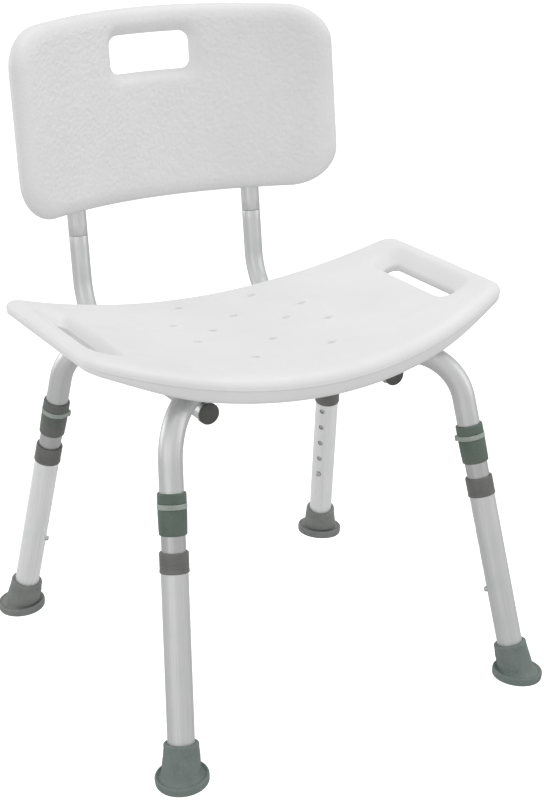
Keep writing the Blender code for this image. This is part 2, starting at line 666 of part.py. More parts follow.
# ---- legs ----
END_T = (BAND_Z - FLOOR_Z) * leg_scale
for key in CORNERS:
    base = leg_frame(key)
    axis, origin = leg_axis(key), leg_point(key, BAND_Z)

    spig = TUBE_R - TUBE_WALL - GAP
    inner_profile = [(0.0093, -0.030), (spig - 0.0006, -0.030), (spig, -0.029), (spig, JOIN_T + GAP),
                     (TUBE_R, JOIN_T + GAP), (TUBE_R, BUTTON_T + 0.022),
                     (TUBE_R - TUBE_WALL, BUTTON_T + 0.022), (TUBE_R - TUBE_WALL, 0.010), (0.0093, 0.006)]
    inner = add("inner_leg_" + key, lathe("inner_leg_" + key, inner_profile, base, 16), "aluminium", origin)
    aim = base @ Matrix.Translation((0, 0, BUTTON_T)) @ Matrix.Rotation(math.pi / 2, 4, "Y")
    cut(inner, rod("inner_way_" + key, HOLE_R, 0.0, 0.03, aim, 10))

    sleeve_profile = [(TUBE_R + GAP, -0.0116), (0.0150, -0.0116), (0.0157, -0.0108), (0.0157, -0.0031),
                      (0.0147, -0.0031), (0.0147, 0.0031), (0.0157, 0.0031), (0.0151, 0.0290), (0.0144, 0.0300),
                      (TUBE_R + GAP, 0.0300)]
    add("leg_sleeve_" + key, lathe("leg_sleeve_" + key, sleeve_profile, base, 16), "sleeve_plastic", origin)

    clip_profile = [(0.0147 + GAP, -0.0028), (0.0158, -0.0028), (0.0163, -0.0022), (0.0163, 0.0022),
                    (0.0158, 0.0028), (0.0147 + GAP, 0.0028)]
    band = lathe("sleeve_clip_" + key, clip_profile, base, 16)
    clip = add("sleeve_clip_" + key, band, "clip_plastic", origin)
    lug = add("clip_lug_" + key, prism("clip_lug_" + key, rounded(0.0019, 0.0040, 0.0012, 2, 0.0171, 0.0),
                                       -0.0025, 0.0025, lambda x, y, z, m=base: m @ Vector((x, y, z))), None)
    cut(clip, lug, "UNION")

    outer_profile = pipe_profile(OUTER_R, OUTER_BORE, 0.0490, END_T - 0.0126)
    outer = add("outer_leg_" + key, lathe("outer_leg_" + key, outer_profile, base, 16), "aluminium", origin)
    for k in range(HOLE_COUNT):
        down = HOLE_FIRST + HOLE_PITCH * k
        at = base @ Matrix.Translation((0, 0, down)) @ Matrix.Rotation(math.pi / 2, 4, "Y")
        cut(outer, rod(f"outer_way_{key}{k}", HOLE_R, 0.0, 0.03, at, 8))

    collar_profile = [(TUBE_R + GAP, 0.0474), (0.0152, 0.0474), (0.0159, 0.0482),
                      (0.0159, 0.0682), (0.0153, 0.0690), (OUTER_R + GAP, 0.0690),
                      (OUTER_R + GAP, 0.0487), (TUBE_R + GAP, 0.0487)]
    add("leg_collar_" + key, lathe("leg_collar_" + key, collar_profile, base, 16), "collar_plastic", origin)

    button_profile = [(0, 0.0066), (0.0048, 0.0066), (0.0048, 0.0078), (BUTTON_R, 0.0078), (BUTTON_R, 0.0163),
                      (0.0021, 0.0175), (0, 0.0179)]
    add("leg_button_" + key, lathe("leg_button_" + key, button_profile, aim, 12), "steel",
        aim @ Vector((0, 0, OUTER_R)))
    spring_frame = base @ Matrix.Translation((0, 0, BUTTON_T)) @ Matrix.Rotation(math.pi, 4, "X")
    spring = leaf("button_spring_" + key, spring_frame, 0.0060, 0.0096, 0.026, 0.007)
    add("button_spring_" + key, spring, "steel")

    # rubber tip: a vertical flange on the floor under a cup that leans with the leg
    floor_at = leg_point(key, FLOOR_Z)
    flange_profile = [(0, 0.0), (0.0264, 0.0), (0.0284, 0.0020), (0.0284, 0.0075), (0.0262, 0.0110),
                      (0.0215, 0.0118), (0, 0.0118)]
    tip = add("foot_" + key, lathe("foot_" + key, flange_profile, Matrix.Translation(floor_at), 20),
              "foot_rubber", floor_at)
    cup_profile = [(0, -0.0440), (0.0172, -0.0440), (0.0187, -0.0426), (0.0187, -0.0400), (0.0208, -0.0100),
                   (0.0198, -0.0062), (0, -0.0062)]
    cup_frame = frame_of(floor_at, axis, inward(key))
    cup = add("foot_cup_" + key, lathe("foot_cup_" + key, cup_profile, cup_frame, 16), None)
    cut(tip, cup, "UNION")
    cut(tip, rod("foot_bore_" + key, OUTER_R + GAP, -0.06, -0.0104, cup_frame, 16))
    recess = lathe("foot_recess_" + key, [(0, -0.01), (0.0150, -0.01), (0.0150, 0.0012), (0.0135, 0.0022),
                                          (0, 0.0022)], Matrix.Translation(floor_at), 16)
    cut(tip, add("foot_recess_" + key, recess, None))
    washer = lathe("foot_washer_" + key, [(0.0040, -0.0120), (0.0138, -0.0120), (0.0138, -0.0108),
                                          (0.0040, -0.0108)], cup_frame, 16)
    add("foot_washer_" + key, washer, "steel", floor_at)

# stand the finished model on the floor with its depth centred on the origin
for placed in bpy.data.objects:
    placed.location += Vector((0.0, -CENTRE_Y, -FLOOR_Z))
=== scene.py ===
import math

import bmesh
import bpy
import numpy as np
from mathutils import Matrix, Vector, geometry, noise


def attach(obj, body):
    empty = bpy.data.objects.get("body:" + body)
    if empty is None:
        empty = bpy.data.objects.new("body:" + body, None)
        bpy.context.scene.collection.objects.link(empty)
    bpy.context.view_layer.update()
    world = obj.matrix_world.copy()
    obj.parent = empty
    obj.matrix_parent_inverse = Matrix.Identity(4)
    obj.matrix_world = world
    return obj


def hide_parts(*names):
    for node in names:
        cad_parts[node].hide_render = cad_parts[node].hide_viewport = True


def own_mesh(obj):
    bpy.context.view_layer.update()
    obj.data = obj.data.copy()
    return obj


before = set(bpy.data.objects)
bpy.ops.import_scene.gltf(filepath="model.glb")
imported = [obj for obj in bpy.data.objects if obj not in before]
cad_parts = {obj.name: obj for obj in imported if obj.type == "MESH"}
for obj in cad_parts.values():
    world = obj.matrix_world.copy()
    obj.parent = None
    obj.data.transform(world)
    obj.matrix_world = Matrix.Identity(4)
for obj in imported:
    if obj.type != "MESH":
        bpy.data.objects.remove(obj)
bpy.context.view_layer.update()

# ---- driving dimensions of the stool, in metres: the CAD model's, but for a seat 2 to 5 mm larger each way ----
FLOOR_Z, CENTRE_Y = 0.0042, 0.01866  # the heights and depths below are measured before this shift
SEAT_HALF_W, SEAT_CORNER_R = 0.2550, 0.024
SEAT_FRONT, SEAT_REAR, SEAT_BOW_F, SEAT_BOW_R = 0.1090, 0.1218, 0.051, 0.027
RIDGE_Z, SEAT_SAG = 0.3875, 0.0465
SEAT_TOP, SEAT_SKIRT, SEAT_DISH = 0.0120, 0.0155, 0.0030
SLOT_X, SLOT_Y, SLOT_HALF_W, SLOT_HALF_L = 0.2150, 0.0040, 0.0110, 0.0630
DRAINS = [(0.048, 0.105), (0.0, 0.060), (0.083, 0.049), (0.047, 0.022), (0.083, -0.011),
          (0.0, -0.030), (0.047, -0.077)]
BACK_HALF_W, BACK_BOTTOM, BACK_TOP = 0.2030, 0.4940, 0.7165
BACK_THICK, BACK_SAG, BACK_LEAN, BACK_Y0, BACK_REF_Z = 0.0260, 0.085, 0.12, 0.2605, 0.600
BACK_R_TOP, BACK_R_BOTTOM = 0.042, 0.052
HAND_HALF_W, HAND_BOTTOM, HAND_TOP = 0.0515, 0.6425, 0.6865
BOSS_R, POST_TOP = 0.0150, 0.630
TUBE_R, TUBE_WALL = 0.0127, 0.0016
OUTER_R, OUTER_BORE = 0.0143, 0.01305
BAR_R, BAR_BORE, POST_BORE = 0.0111, 0.0096, 0.0076
FRAME_Z, BAR_Z = 0.3787, 0.3545
BEND_R, BAR_BEND_R, DIP_R = 0.065, 0.070, 0.040
BAR_X, BAR_FRONT = 0.1158, -0.0970
SEAM_Y, SEAM_Z, POST_LEAN, SPIGOT = 0.2265, 0.4670, 0.12, 0.042
LEG_FOOT_X, LEG_FOOT_Y, LEG_SPLAY_X, LEG_SPLAY_Y = 0.2155, 0.2205, 0.1027, 0.2447
BAND_Z, JOIN_T = 0.2862, 0.0035
HOLE_PITCH, HOLE_FIRST, HOLE_COUNT, HOLE_R = 0.0254, 0.0790, 5, 0.0036
BUTTON_T = HOLE_FIRST + HOLE_PITCH * (HOLE_COUNT - 1)
BUTTON_R, SCREW_HOLE_R, RIVET_HOLE_R = 0.0031, 0.0034, 0.0028
GAP, TOUCH = 0.0003, 0.00003  # between pieces that slide, and between pieces fixed to each other
OUTER_T, OUTER_LIFT = 0.0490, 0.0126  # where the outer tube starts under the band, and ends above the floor
CATCH_DROP = 0.022  # from the seam between post and bar down to the snap button
SOLE_LEAN = 0.080  # how far each sole leans outwards
SCREW_S = 0.078  # from the crossing of the tubes to each seat screw, and to each rivet in RIVET_S
CORNERS = {"fl": (-1, -1), "fr": (1, -1), "bl": (-1, 1), "br": (1, 1)}
SIDES = {"l": -1, "r": 1}
SHIFT = Vector((0.0, -CENTRE_Y, -FLOOR_Z))

TURN = 2 * math.pi
leg_scale = math.sqrt(1 + LEG_SPLAY_X ** 2 + LEG_SPLAY_Y ** 2)  # length down a leg over its height
END_T = (BAND_Z - FLOOR_Z) * leg_scale
diag = math.atan2(LEG_FOOT_Y - LEG_SPLAY_Y * FRAME_Z, LEG_FOOT_X - LEG_SPLAY_X * FRAME_Z)
RIVET_S = BAR_X / math.cos(diag)  # diag is the level angle of the crossing tubes


def clamped(value):
    return max(0.0, min(1.0, value))


def eased(low, high, values):
    """Rises smoothly from 0 to 1 as the values go from low to high."""
    s = np.clip((values - low) / (high - low), 0, 1)
    return s * s * (3 - 2 * s)


def placed(name, data, where=(0, 0, 0)):
    obj = bpy.data.objects.new(name, data)
    obj.location = where
    bpy.context.scene.collection.objects.link(obj)
    return obj


# ---- materials ----
class Finish:
    """A material whose pattern follows the 'grain' attribute: each piece's own coordinates, in metres."""

    def __init__(self, name, colour, roughness, metallic=0.0):
        self.material = bpy.data.materials.new(name)
        self.material.use_nodes = True
        self.tree = self.material.node_tree
        self.bsdf = self.tree.nodes["Principled BSDF"]
        self.colour = colour
        self.bsdf.inputs["Roughness"].default_value = roughness
        self.bsdf.inputs["Metallic"].default_value = metallic
        self.bsdf.inputs["Base Color"].default_value = (*colour, 1)
        attribute = self.node("ShaderNodeAttribute")
        attribute.attribute_name = "grain"
        self.place = attribute.outputs["Vector"]
        self.height = None

    def node(self, kind):
        return self.tree.nodes.new(kind)

    def link(self, a, b):
        self.tree.links.new(a, b)

    def noise(self, scale, detail=2.0, stretch=(1, 1, 1), rough=0.5):
        """Value of a noise pattern with this many lumps a metre."""
        stretched = self.node("ShaderNodeVectorMath")
        stretched.operation = "MULTIPLY"
        stretched.inputs[1].default_value = stretch
        self.link(self.place, stretched.inputs[0])
        pattern = self.node("ShaderNodeTexNoise")
        pattern.inputs["Scale"].default_value = scale
        pattern.inputs["Detail"].default_value = detail
        pattern.inputs["Roughness"].default_value = rough
        self.link(stretched.outputs["Vector"], pattern.inputs["Vector"])
        return pattern.outputs["Fac"]

    def cells(self, scale, feature="F1"):
        pattern = self.node("ShaderNodeTexVoronoi")
        pattern.feature = feature
        pattern.inputs["Scale"].default_value = scale
        self.link(self.place, pattern.inputs["Vector"])
        return pattern.outputs["Distance"]

    def spread(self, value, low, high, to_low, to_high):
        """The value, carried from one range to another."""
        ranged = self.node("ShaderNodeMapRange")
        for name, number in (("From Min", low), ("From Max", high), ("To Min", to_low), ("To Max", to_high)):
            ranged.inputs[name].default_value = number
        self.link(value, ranged.inputs["Value"])
        return ranged.outputs["Result"]

    def tint(self, value, low, high, colour):
        """Mixes another colour in where the value is high."""
        mix = self.node("ShaderNodeMix")
        mix.data_type = "RGBA"
        self.link(self.spread(value, low, high, 0.0, 1.0), mix.inputs[0])
        base = self.bsdf.inputs["Base Color"]
        if base.links:
            self.link(base.links[0].from_socket, mix.inputs[6])
        else:
            mix.inputs[6].default_value = (*self.colour, 1)
        mix.inputs[7].default_value = (*colour, 1)
        self.link(mix.outputs[2], base)

    def gloss(self, value, low, high, smooth, rough):
        self.link(self.spread(value, low, high, smooth, rough), self.bsdf.inputs["Roughness"])

    def bump(self, value, depth, strength=1.0):
        """Adds a relief of this depth in metres to the surface."""
        relief = self.node("ShaderNodeBump")
        relief.inputs["Strength"].default_value = strength
        relief.inputs["Distance"].default_value = depth
        self.link(value, relief.inputs["Height"])
        if self.height is not None:
            self.link(self.height, relief.inputs["Normal"])
        self.height = relief.outputs["Normal"]
        self.link(self.height, self.bsdf.inputs["Normal"])


def moulded_white(name, colour, pebble):
    """Blow-moulded white polyethylene: fine matt skin, slight waviness, and pebble grain where asked."""
    m = Finish(name, colour, 0.46)
    m.bsdf.inputs["IOR"].default_value = 1.5
    shade = tuple(c * 0.955 for c in colour)
    m.tint(m.noise(9.0, 3.0), 0.40, 0.72, shade)
    m.tint(m.noise(60.0, 4.0), 0.55, 0.85, tuple(c * 0.965 for c in colour))
    m.gloss(m.noise(35.0, 3.0), 0.3, 0.7, 0.40, 0.56)
    m.bump(m.noise(11.0, 1.0), 0.0012)
    m.bump(m.noise(1500.0, 2.0), 0.00006, 0.8)
    if pebble:
        m.bump(m.noise(330.0, 2.5, rough=0.55), 0.00055, 0.9)
        m.bump(m.cells(420.0), 0.00022, 0.6)
    else:
        m.bump(m.noise(420.0, 2.0), 0.00010, 0.7)
    return m.material


def anodised(name, colour, roughness=0.44):
    """Satin anodised drawn tube: long draw lines, a fine matt etch and faint mottling."""
    m = Finish(name, colour, roughness, 1.0)
    cool = (colour[0] * 0.945, colour[1] * 0.965, colour[2] * 0.96)
    m.tint(m.noise(28.0, 2.0), 0.42, 0.70, cool)
    m.tint(m.noise(900.0, 2.0, stretch=(1, 1, 0.012)), 0.50, 0.72, tuple(c * 0.90 for c in colour))
    m.gloss(m.noise(700.0, 3.0, stretch=(1, 1, 0.02)), 0.30, 0.70, roughness - 0.07, roughness + 0.09)
    m.bump(m.noise(1100.0, 2.0, stretch=(1, 1, 0.01)), 0.000012, 0.7)
    m.bump(m.noise(2600.0, 1.0), 0.000010, 0.6)
    return m.material


def moulded_dark(name, colour, roughness, fleck, relief=0.00009):
    """Injection-moulded plastic or rubber with a spark-eroded texture and rubbed, paler high spots."""
    m = Finish(name, colour, roughness)
    m.tint(m.noise(55.0, 3.0), 0.42, 0.68, fleck)
    m.tint(m.noise(420.0, 2.0), 0.56, 0.80, tuple(min(1.0, c * 1.25) for c in colour))
    m.gloss(m.noise(120.0, 3.0), 0.3, 0.7, roughness - 0.08, roughness + 0.10)
    m.bump(m.noise(1300.0, 2.0), relief, 0.8)
    m.bump(m.noise(45.0, 1.0), 0.0004, 0.5)
    return m.material


def bright_steel(name):
    """Zinc-plated steel, turned and lightly scuffed."""
    m = Finish(name, (0.56, 0.56, 0.55), 0.28, 1.0)
    m.tint(m.noise(700.0, 3.0), 0.50, 0.75, (0.40, 0.40, 0.39))
    m.gloss(m.noise(1400.0, 2.0), 0.3, 0.7, 0.20, 0.40)
    m.bump(m.noise(2600.0, 2.0), 0.00002, 0.8)
    return m.material


LOOKS = {
    "seat": (moulded_white("seat_plastic", (0.800, 0.802, 0.800), False), "white_hdpe"),
    # The backrest's white is the seat's plastic made a little darker: painted shade for the upright panel, not a
    # different plastic.
    "back": (moulded_white("back_plastic_painted_shade", (0.775, 0.778, 0.775), True), "white_hdpe"),
    "tube": (anodised("anodised_tube", (0.685, 0.688, 0.686)), "aluminium"),
    "inner": (anodised("anodised_inner_tube", (0.57, 0.57, 0.568)), "aluminium"),
    "outer": (anodised("anodised_outer_tube", (0.72, 0.721, 0.72), 0.50), "aluminium"),
    # The rear legs' outer tubes share the front ones' anodising but get a much brighter base colour: painted
    # light standing in for light the rear legs lack.
    "outer_rear": (anodised("anodised_rear_tube_painted_light", (0.97, 0.97, 0.97), 0.47), "aluminium"),
    "sleeve": (moulded_dark("sleeve_green", (0.105, 0.142, 0.115), 0.42, (0.080, 0.120, 0.094)),
               "sleeve_plastic"),
    "sleeve_rear": (moulded_dark("sleeve_grey", (0.135, 0.141, 0.135), 0.42, (0.104, 0.122, 0.106)),
                    "sleeve_plastic"),
    "clip": (moulded_dark("clip_grey", (0.36, 0.40, 0.36), 0.40, (0.28, 0.32, 0.285), 0.00005),
             "clip_plastic"),
    "collar": (moulded_dark("collar_grey", (0.155, 0.155, 0.150), 0.46, (0.120, 0.122, 0.118)),
               "collar_plastic"),
    "cap": (moulded_dark("cap_grey", (0.092, 0.092, 0.088), 0.50, (0.070, 0.078, 0.072)), "collar_plastic"),
    "foot": (moulded_dark("foot_rubber_green", (0.172, 0.205, 0.190), 0.60, (0.140, 0.178, 0.168), 0.00012),
             "foot_rubber"),
    "foot_rear": (moulded_dark("foot_rubber_grey", (0.215, 0.222, 0.215), 0.60, (0.182, 0.196, 0.188),
                               0.00012), "foot_rubber"),
    "steel": (bright_steel("plated_steel"), "steel"),
}


# ---- curves and profiles ----
def fillet(path, radii, pieces):
    """Points along a polyline whose inner corners are replaced by arcs."""
    pts = [Vector(p) for p in path]
    out = [pts[0]]
    for k in range(1, len(pts) - 1):
        a, p, b, r = pts[k - 1], pts[k], pts[k + 1], radii[k - 1]
        u, v = (a - p).normalized(), (b - p).normalized()
        half = u.angle(v) / 2
        centre = p + (u + v).normalized() * (r / math.sin(half))
        start, end = p + u * (r / math.tan(half)) - centre, p + v * (r / math.tan(half)) - centre
        turn = start.angle(end)
        for i in range(pieces + 1):
            f = i / pieces
            w = (start * math.sin((1 - f) * turn) + end * math.sin(f * turn)) / math.sin(turn)
            out.append(centre + w)
    out.append(pts[-1])
    return out


def soft(profile, radius, pieces=4):
    """Closed (radius, height) profile with its corners rounded, except those on the axis."""
    out = []
    n = len(profile)
    for k in range(n):
        p = Vector(profile[k])
        a, b = Vector(profile[k - 1]), Vector(profile[(k + 1) % n])
        u, v = a - p, b - p
        if p.x < 1e-6 or u.length < 1e-7 or v.length < 1e-7:
            out.append(tuple(p))
            continue
        half = u.angle(v) / 2
        if half > math.radians(86):
            out.append(tuple(p))
            continue
        reach = min(radius / math.tan(half), 0.45 * u.length, 0.45 * v.length)
        first, last = p + u.normalized() * reach, p + v.normalized() * reach
        for i in range(pieces + 1):
            f = i / pieces
            out.append(tuple(first.lerp(p, f).lerp(p.lerp(last, f), f)))
    return out


def frame_of(origin, axis, side):
    """Matrix carrying local Z to the axis and local X to the side direction."""
    z = Vector(axis).normalized()
    x = (Vector(side) - z * Vector(side).dot(z)).normalized()
    rot = Matrix((x, z.cross(x), z)).transposed().to_4x4()
    return Matrix.Translation(Vector(origin)) @ rot


# ---- mesh making ----
def piece(name, shell, grain, look, body, node, sharp=38.0):
    """One finished object from a shell in the frame before SHIFT; it replaces its CAD node and rides."""
    mesh = bpy.data.meshes.new(name)
    mesh.from_pydata([p + SHIFT for p in shell.points], [], shell.faces)
    attribute = mesh.attributes.new("grain", "FLOAT_VECTOR", "POINT")
    attribute.data.foreach_set("vector", np.array(grain, np.float32).ravel())
    bm = bmesh.new()
    bm.from_mesh(mesh)
    bmesh.ops.remove_doubles(bm, verts=bm.verts, dist=2e-6)
    bmesh.ops.dissolve_degenerate(bm, edges=bm.edges, dist=1e-7)
    bmesh.ops.recalc_face_normals(bm, faces=bm.faces)
    bm.to_mesh(mesh)
    bm.free()
    mesh.shade_smooth()
    mesh.set_sharp_from_angle(angle=math.radians(sharp))
    finish, slot = LOOKS[look]
    mesh.materials.append(finish)
    obj = placed(name, mesh)
    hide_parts(node)
    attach(obj, body)
    return obj


def turned(name, profile, matrix, look, body, node, steps=72, ring_at=None):
    """Solid of revolution round local Z; ring_at may place each ring's points itself."""
    shell, grain, rings = Shell(), [], []
    for r, z in profile:
        turns = [TURN * k / steps for k in range(1 if r < 1e-6 else steps)]
        local = [Vector((r * math.cos(a), r * math.sin(a), z)) for a in turns]
        points = [ring_at(r, a, z) for a in turns] if ring_at else [matrix @ p for p in local]
        rings.append(shell.ring(points))
        grain += local
    for a, b in zip(rings, rings[1:] + rings[:1]):
        if len(a) == 1 and len(b) == 1:
            continue
        for k in range(steps):
            j = (k + 1) % steps
            corners = [a[k % len(a)], a[j % len(a)], b[j % len(b)], b[k % len(b)]]
            shell.faces.append(tuple(dict.fromkeys(corners)))
    return piece(name, shell, grain, look, body, node)


def inside(points, loop):
    """Which of the flat points lie inside the closed loop."""
    found = np.zeros(len(points), bool)
    a, b = loop, np.roll(loop, -1, axis=0)
    for start in range(0, len(points), 20000):
        x, y = points[start:start + 20000, 0, None], points[start:start + 20000, 1, None]
        crosses = (a[:, 1] > y) != (b[:, 1] > y)
        rise = np.where(a[:, 1] == b[:, 1], 1.0, b[:, 1] - a[:, 1])
        at = a[:, 0] + (y - a[:, 1]) * (b[:, 0] - a[:, 0]) / rise
        found[start:start + 20000] = (crosses & (x < at)).sum(axis=1) % 2 == 1
    return found


def distance(points, loop):
    """Distance of each flat point from the closed loop."""
    out = np.empty(len(points))
    a, ab = loop, np.roll(loop, -1, axis=0) - loop
    length = (ab ** 2).sum(axis=1)
    for start in range(0, len(points), 20000):
        ap = points[start:start + 20000, None, :] - a
        t = np.clip((ap * ab).sum(axis=2) / length, 0, 1)[..., None]
        out[start:start + 20000] = np.sqrt(((ap - t * ab) ** 2).sum(axis=2)).min(axis=1)
    return out


def triangulate(loops, extra):
    """Triangles over the flat region in the first loop and outside the others, using the extra points.
    Indices run through the loops in order and then through the extra points."""
    flat = np.concatenate(list(loops) + [extra])
    edges, start = [], 0
    for loop in loops:
        n = len(loop)
        edges += [(start + k, start + (k + 1) % n) for k in range(n)]
        start += n
    out, _, triangles, origin, _, _ = geometry.delaunay_2d_cdt(
        [Vector(p) for p in flat], edges, [], 0, 1e-8)
    first = [o[0] if o else -1 for o in origin]
    tri = np.array([[first[k] for k in t] for t in triangles])
    tri = tri[(tri >= 0).all(axis=1)]
    middle = flat[tri].mean(axis=1)
    keep = inside(middle, loops[0])
    for loop in loops[1:]:
        keep &= ~inside(middle, loop)
    return tri[keep]


def grid(loop, spacing):
    low, high = loop.min(axis=0), loop.max(axis=0)
    xs = np.arange(low[0] + spacing / 2, high[0], spacing)
    ys = np.arange(low[1] + spacing / 2, high[1], spacing)
    x, y = np.meshgrid(xs, ys)
    x = x + (np.arange(len(ys)) % 2)[:, None] * spacing / 2
    return np.stack([x.ravel(), y.ravel()], axis=1)


def cleared(points, loops, margin):
    """The points inside the first loop and outside the others, none nearer to a loop than the margin."""
    keep = inside(points, loops[0]) & (distance(points, loops[0]) > margin)
    for loop in loops[1:]:
        keep &= ~inside(points, loop) & (distance(points, loop) > margin)
    return points[keep]


class Shell:
    """Points and faces of one moulding, gathered ring by ring and sheet by sheet."""

    def __init__(self):
        self.points, self.faces = [], []

    def ring(self, points):
        start = len(self.points)
        self.points += [Vector(p) for p in points]
        return list(range(start, len(self.points)))

    def strips(self, rings):
        for a, b in zip(rings, rings[1:]):
            n = len(a)
            self.faces += [(a[k], a[(k + 1) % n], b[(k + 1) % n], b[k]) for k in range(n)]

    def sheet(self, loops, rings, extra, points):
        """Fills between rings already made, whose flat outlines are the loops; the extra flat points of the
        region have these places."""
        known = [k for ring in rings for k in ring]
        known += self.ring(points)
        self.faces += [tuple(known[k] for k in t) for t in triangulate(loops, extra)]


def pipe(name, path, outer, bore, look, body, node, side, holes=(), spigot=(), steps=64, lip=0.0004):
    """Open-ended tube along a path. Each hole is (distance along, angle from the side, radius), and the side
    is the direction of angle 0 half-way along; spigot is a stepped profile of (radius, distance) at the start,
    from the full radius to the bore."""
    pts = [Vector(p) for p in path]
    along = [0.0]
    for a, b in zip(pts, pts[1:]):
        along.append(along[-1] + (b - a).length)
    total = along[-1]
    directions = [(b - a).normalized() for a, b in zip(pts, pts[1:])]
    tangents = [directions[0]] + [(a + b).normalized() for a, b in zip(directions, directions[1:])]
    tangents.append(directions[-1])
    half, normals = len(pts) // 2, {}
    for way in (range(half, len(pts)), range(half, -1, -1)):
        normal = Vector(side)
        for k in way:
            normal = (normal - tangents[k] * normal.dot(tangents[k])).normalized()
            normals[k] = normal

    def at(s, angle, radius):
        k = min(max(int(np.searchsorted(along, s)) - 1, 0), len(pts) - 2)
        f = (s - along[k]) / (along[k + 1] - along[k])
        t = tangents[k].lerp(tangents[k + 1], f).normalized()
        n = normals[k].lerp(normals[k + 1], f)
        n = (n - t * n.dot(t)).normalized()
        return pts[k].lerp(pts[k + 1], f) + radius * (n * math.cos(angle) + t.cross(n) * math.sin(angle))

    used = [math.remainder(angle, TURN) for _, angle, _ in holes] or [0.0]
    gaps = [(min(abs(math.remainder(a - u, TURN)) for u in used), a)
            for a in np.linspace(-math.pi, math.pi, 73)]
    seam = round(max(gaps)[1] / (TURN / steps)) * TURN / steps
    rows = {lip, total - lip}
    rows |= {s for s in along if lip < s < total - lip}
    parts = max(1, round(total / 0.014))
    rows |= {lip + (total - 2 * lip) * k / parts for k in range(1, parts)}
    for s, _, r in holes:
        rows |= {s + d for d in np.arange(-3.2 * r, 3.3 * r, 0.5 * r) if lip < s + d < total - lip}
    rows = sorted(rows)
    rows = [s for k, s in enumerate(rows) if k == 0 or s - rows[k - 1] > 0.0004 or s == rows[-1]]
    angles = [seam + TURN * k / steps for k in range(steps + 1)]
    shell, grain = Shell(), []

    def note(s, angle, radius):
        grain.append((radius * math.cos(angle), radius * math.sin(angle), s))
        return at(s, angle, radius)

    rims = {}
    for radius in (outer, bore):
        border = ([(a, rows[0]) for a in angles] + [(angles[-1], s) for s in rows[1:]]
                  + [(a, rows[-1]) for a in angles[-2::-1]] + [(angles[0], s) for s in rows[-2:0:-1]])
        loops, hole_list = [np.array([(a * outer, s) for a, s in border])], []
        inner = [(a, s) for s in rows[1:-1] for a in angles[1:-1]]
        extra = np.array([(a * outer, s) for a, s in inner]).reshape(-1, 2)
        for s, angle, r in holes:
            mid = seam + (angle - seam) % TURN
            rim = [(mid + math.asin(r * math.cos(q) / radius), s + r * math.sin(q))
                   for q in (TURN * k / 24 for k in range(24))]
            halo = [(mid + math.asin(1.35 * r * math.cos(q) / radius), s + 1.35 * r * math.sin(q))
                    for q in (TURN * (k + 0.5) / 24 for k in range(24))]
            far = np.hypot(extra[:, 0] - mid * outer, extra[:, 1] - s) > 1.62 * r * outer / radius
            extra = np.concatenate([extra[far], np.array([(a * outer, z) for a, z in halo])])
            loops.append(np.array([(a * outer, z) for a, z in rim]))
            hole_list.append(rim)
        start = len(shell.points)
        shell.ring([note(s, a, radius) for a, s in border])
        for rim in hole_list:
            rims.setdefault(radius, []).append(shell.ring([note(s, a, radius) for a, s in rim]))
        shell.ring([note(s, a / outer, radius) for a, s in extra])
        shell.faces += [tuple(start + k for k in t) for t in triangulate(loops, extra)]
    for out_rim, in_rim in zip(rims.get(outer, []), rims.get(bore, [])):
        shell.strips([out_rim, in_rim])
    columns, quarter = angles[:-1], (0.0, 0.52, 1.05, math.pi / 2)
    round_lip = [(outer - lip * (1 - math.cos(q)), lip * (1 - math.sin(q))) for q in quarter]
    round_lip += [(bore + lip * (1 - math.sin(q)), lip * (1 - math.cos(q))) for q in quarter]
    first = [(outer, lip)] + list(spigot) + [(bore, lip)] if spigot else round_lip
    for profile in (first, [(r, total - s) for r, s in round_lip]):
        rings = []
        for r, s in profile:
            if 0 <= s <= total:
                rings.append(shell.ring([note(s, a, r) for a in columns]))
            else:
                back = pts[0] + directions[0] * s - at(0.0, 0.0, 0.0)
                rings.append(shell.ring([note(0.0, a, r) + back for a in columns]))
        shell.strips(rings)
    return piece(name, shell, grain, look, body, node)


# ---- places on the frame ----
def leg_axis(key):
    sx, sy = CORNERS[key]
    return Vector((sx * LEG_SPLAY_X, sy * LEG_SPLAY_Y, -1.0)).normalized()


def leg_point(key, z):
    sx, sy = CORNERS[key]
    return Vector((sx * (LEG_FOOT_X - LEG_SPLAY_X * z), sy * (LEG_FOOT_Y - LEG_SPLAY_Y * z), z))


def inward(key):
    sx, sy = CORNERS[key]
    return Vector((-sx * math.cos(diag), -sy * math.sin(diag), 0))


def leg_frame(key):
    """Local Z down the leg from the clip band, local X inwards."""
    return frame_of(leg_point(key, BAND_Z), leg_axis(key), inward(key))


def post_frame(sign):
    return frame_of((sign * BAR_X, SEAM_Y, SEAM_Z), (0, POST_LEAN, 1), (0, 1, 0))


def aimed(base, along):
    """Frame of a cross hole: local Z points out through the tube's side."""
    return base @ Matrix.Translation((0, 0, along)) @ Matrix.Rotation(math.pi / 2, 4, "Y")


# ---- seat ----
def ridge_z(x):
    return RIDGE_Z + SEAT_SAG * (x / SEAT_HALF_W) ** 2


def between(a, b, count):
    """The points that divide the way from a to b, without its ends."""
    return [(a[0] + (b[0] - a[0]) * k / count, a[1] + (b[1] - a[1]) * k / count) for k in range(1, count)]


def arc_points(centre, radius, a0, a1, count):
    return [(centre[0] + radius * math.cos(a0 + (a1 - a0) * k / count),
             centre[1] + radius * math.sin(a0 + (a1 - a0) * k / count)) for k in range(count + 1)]


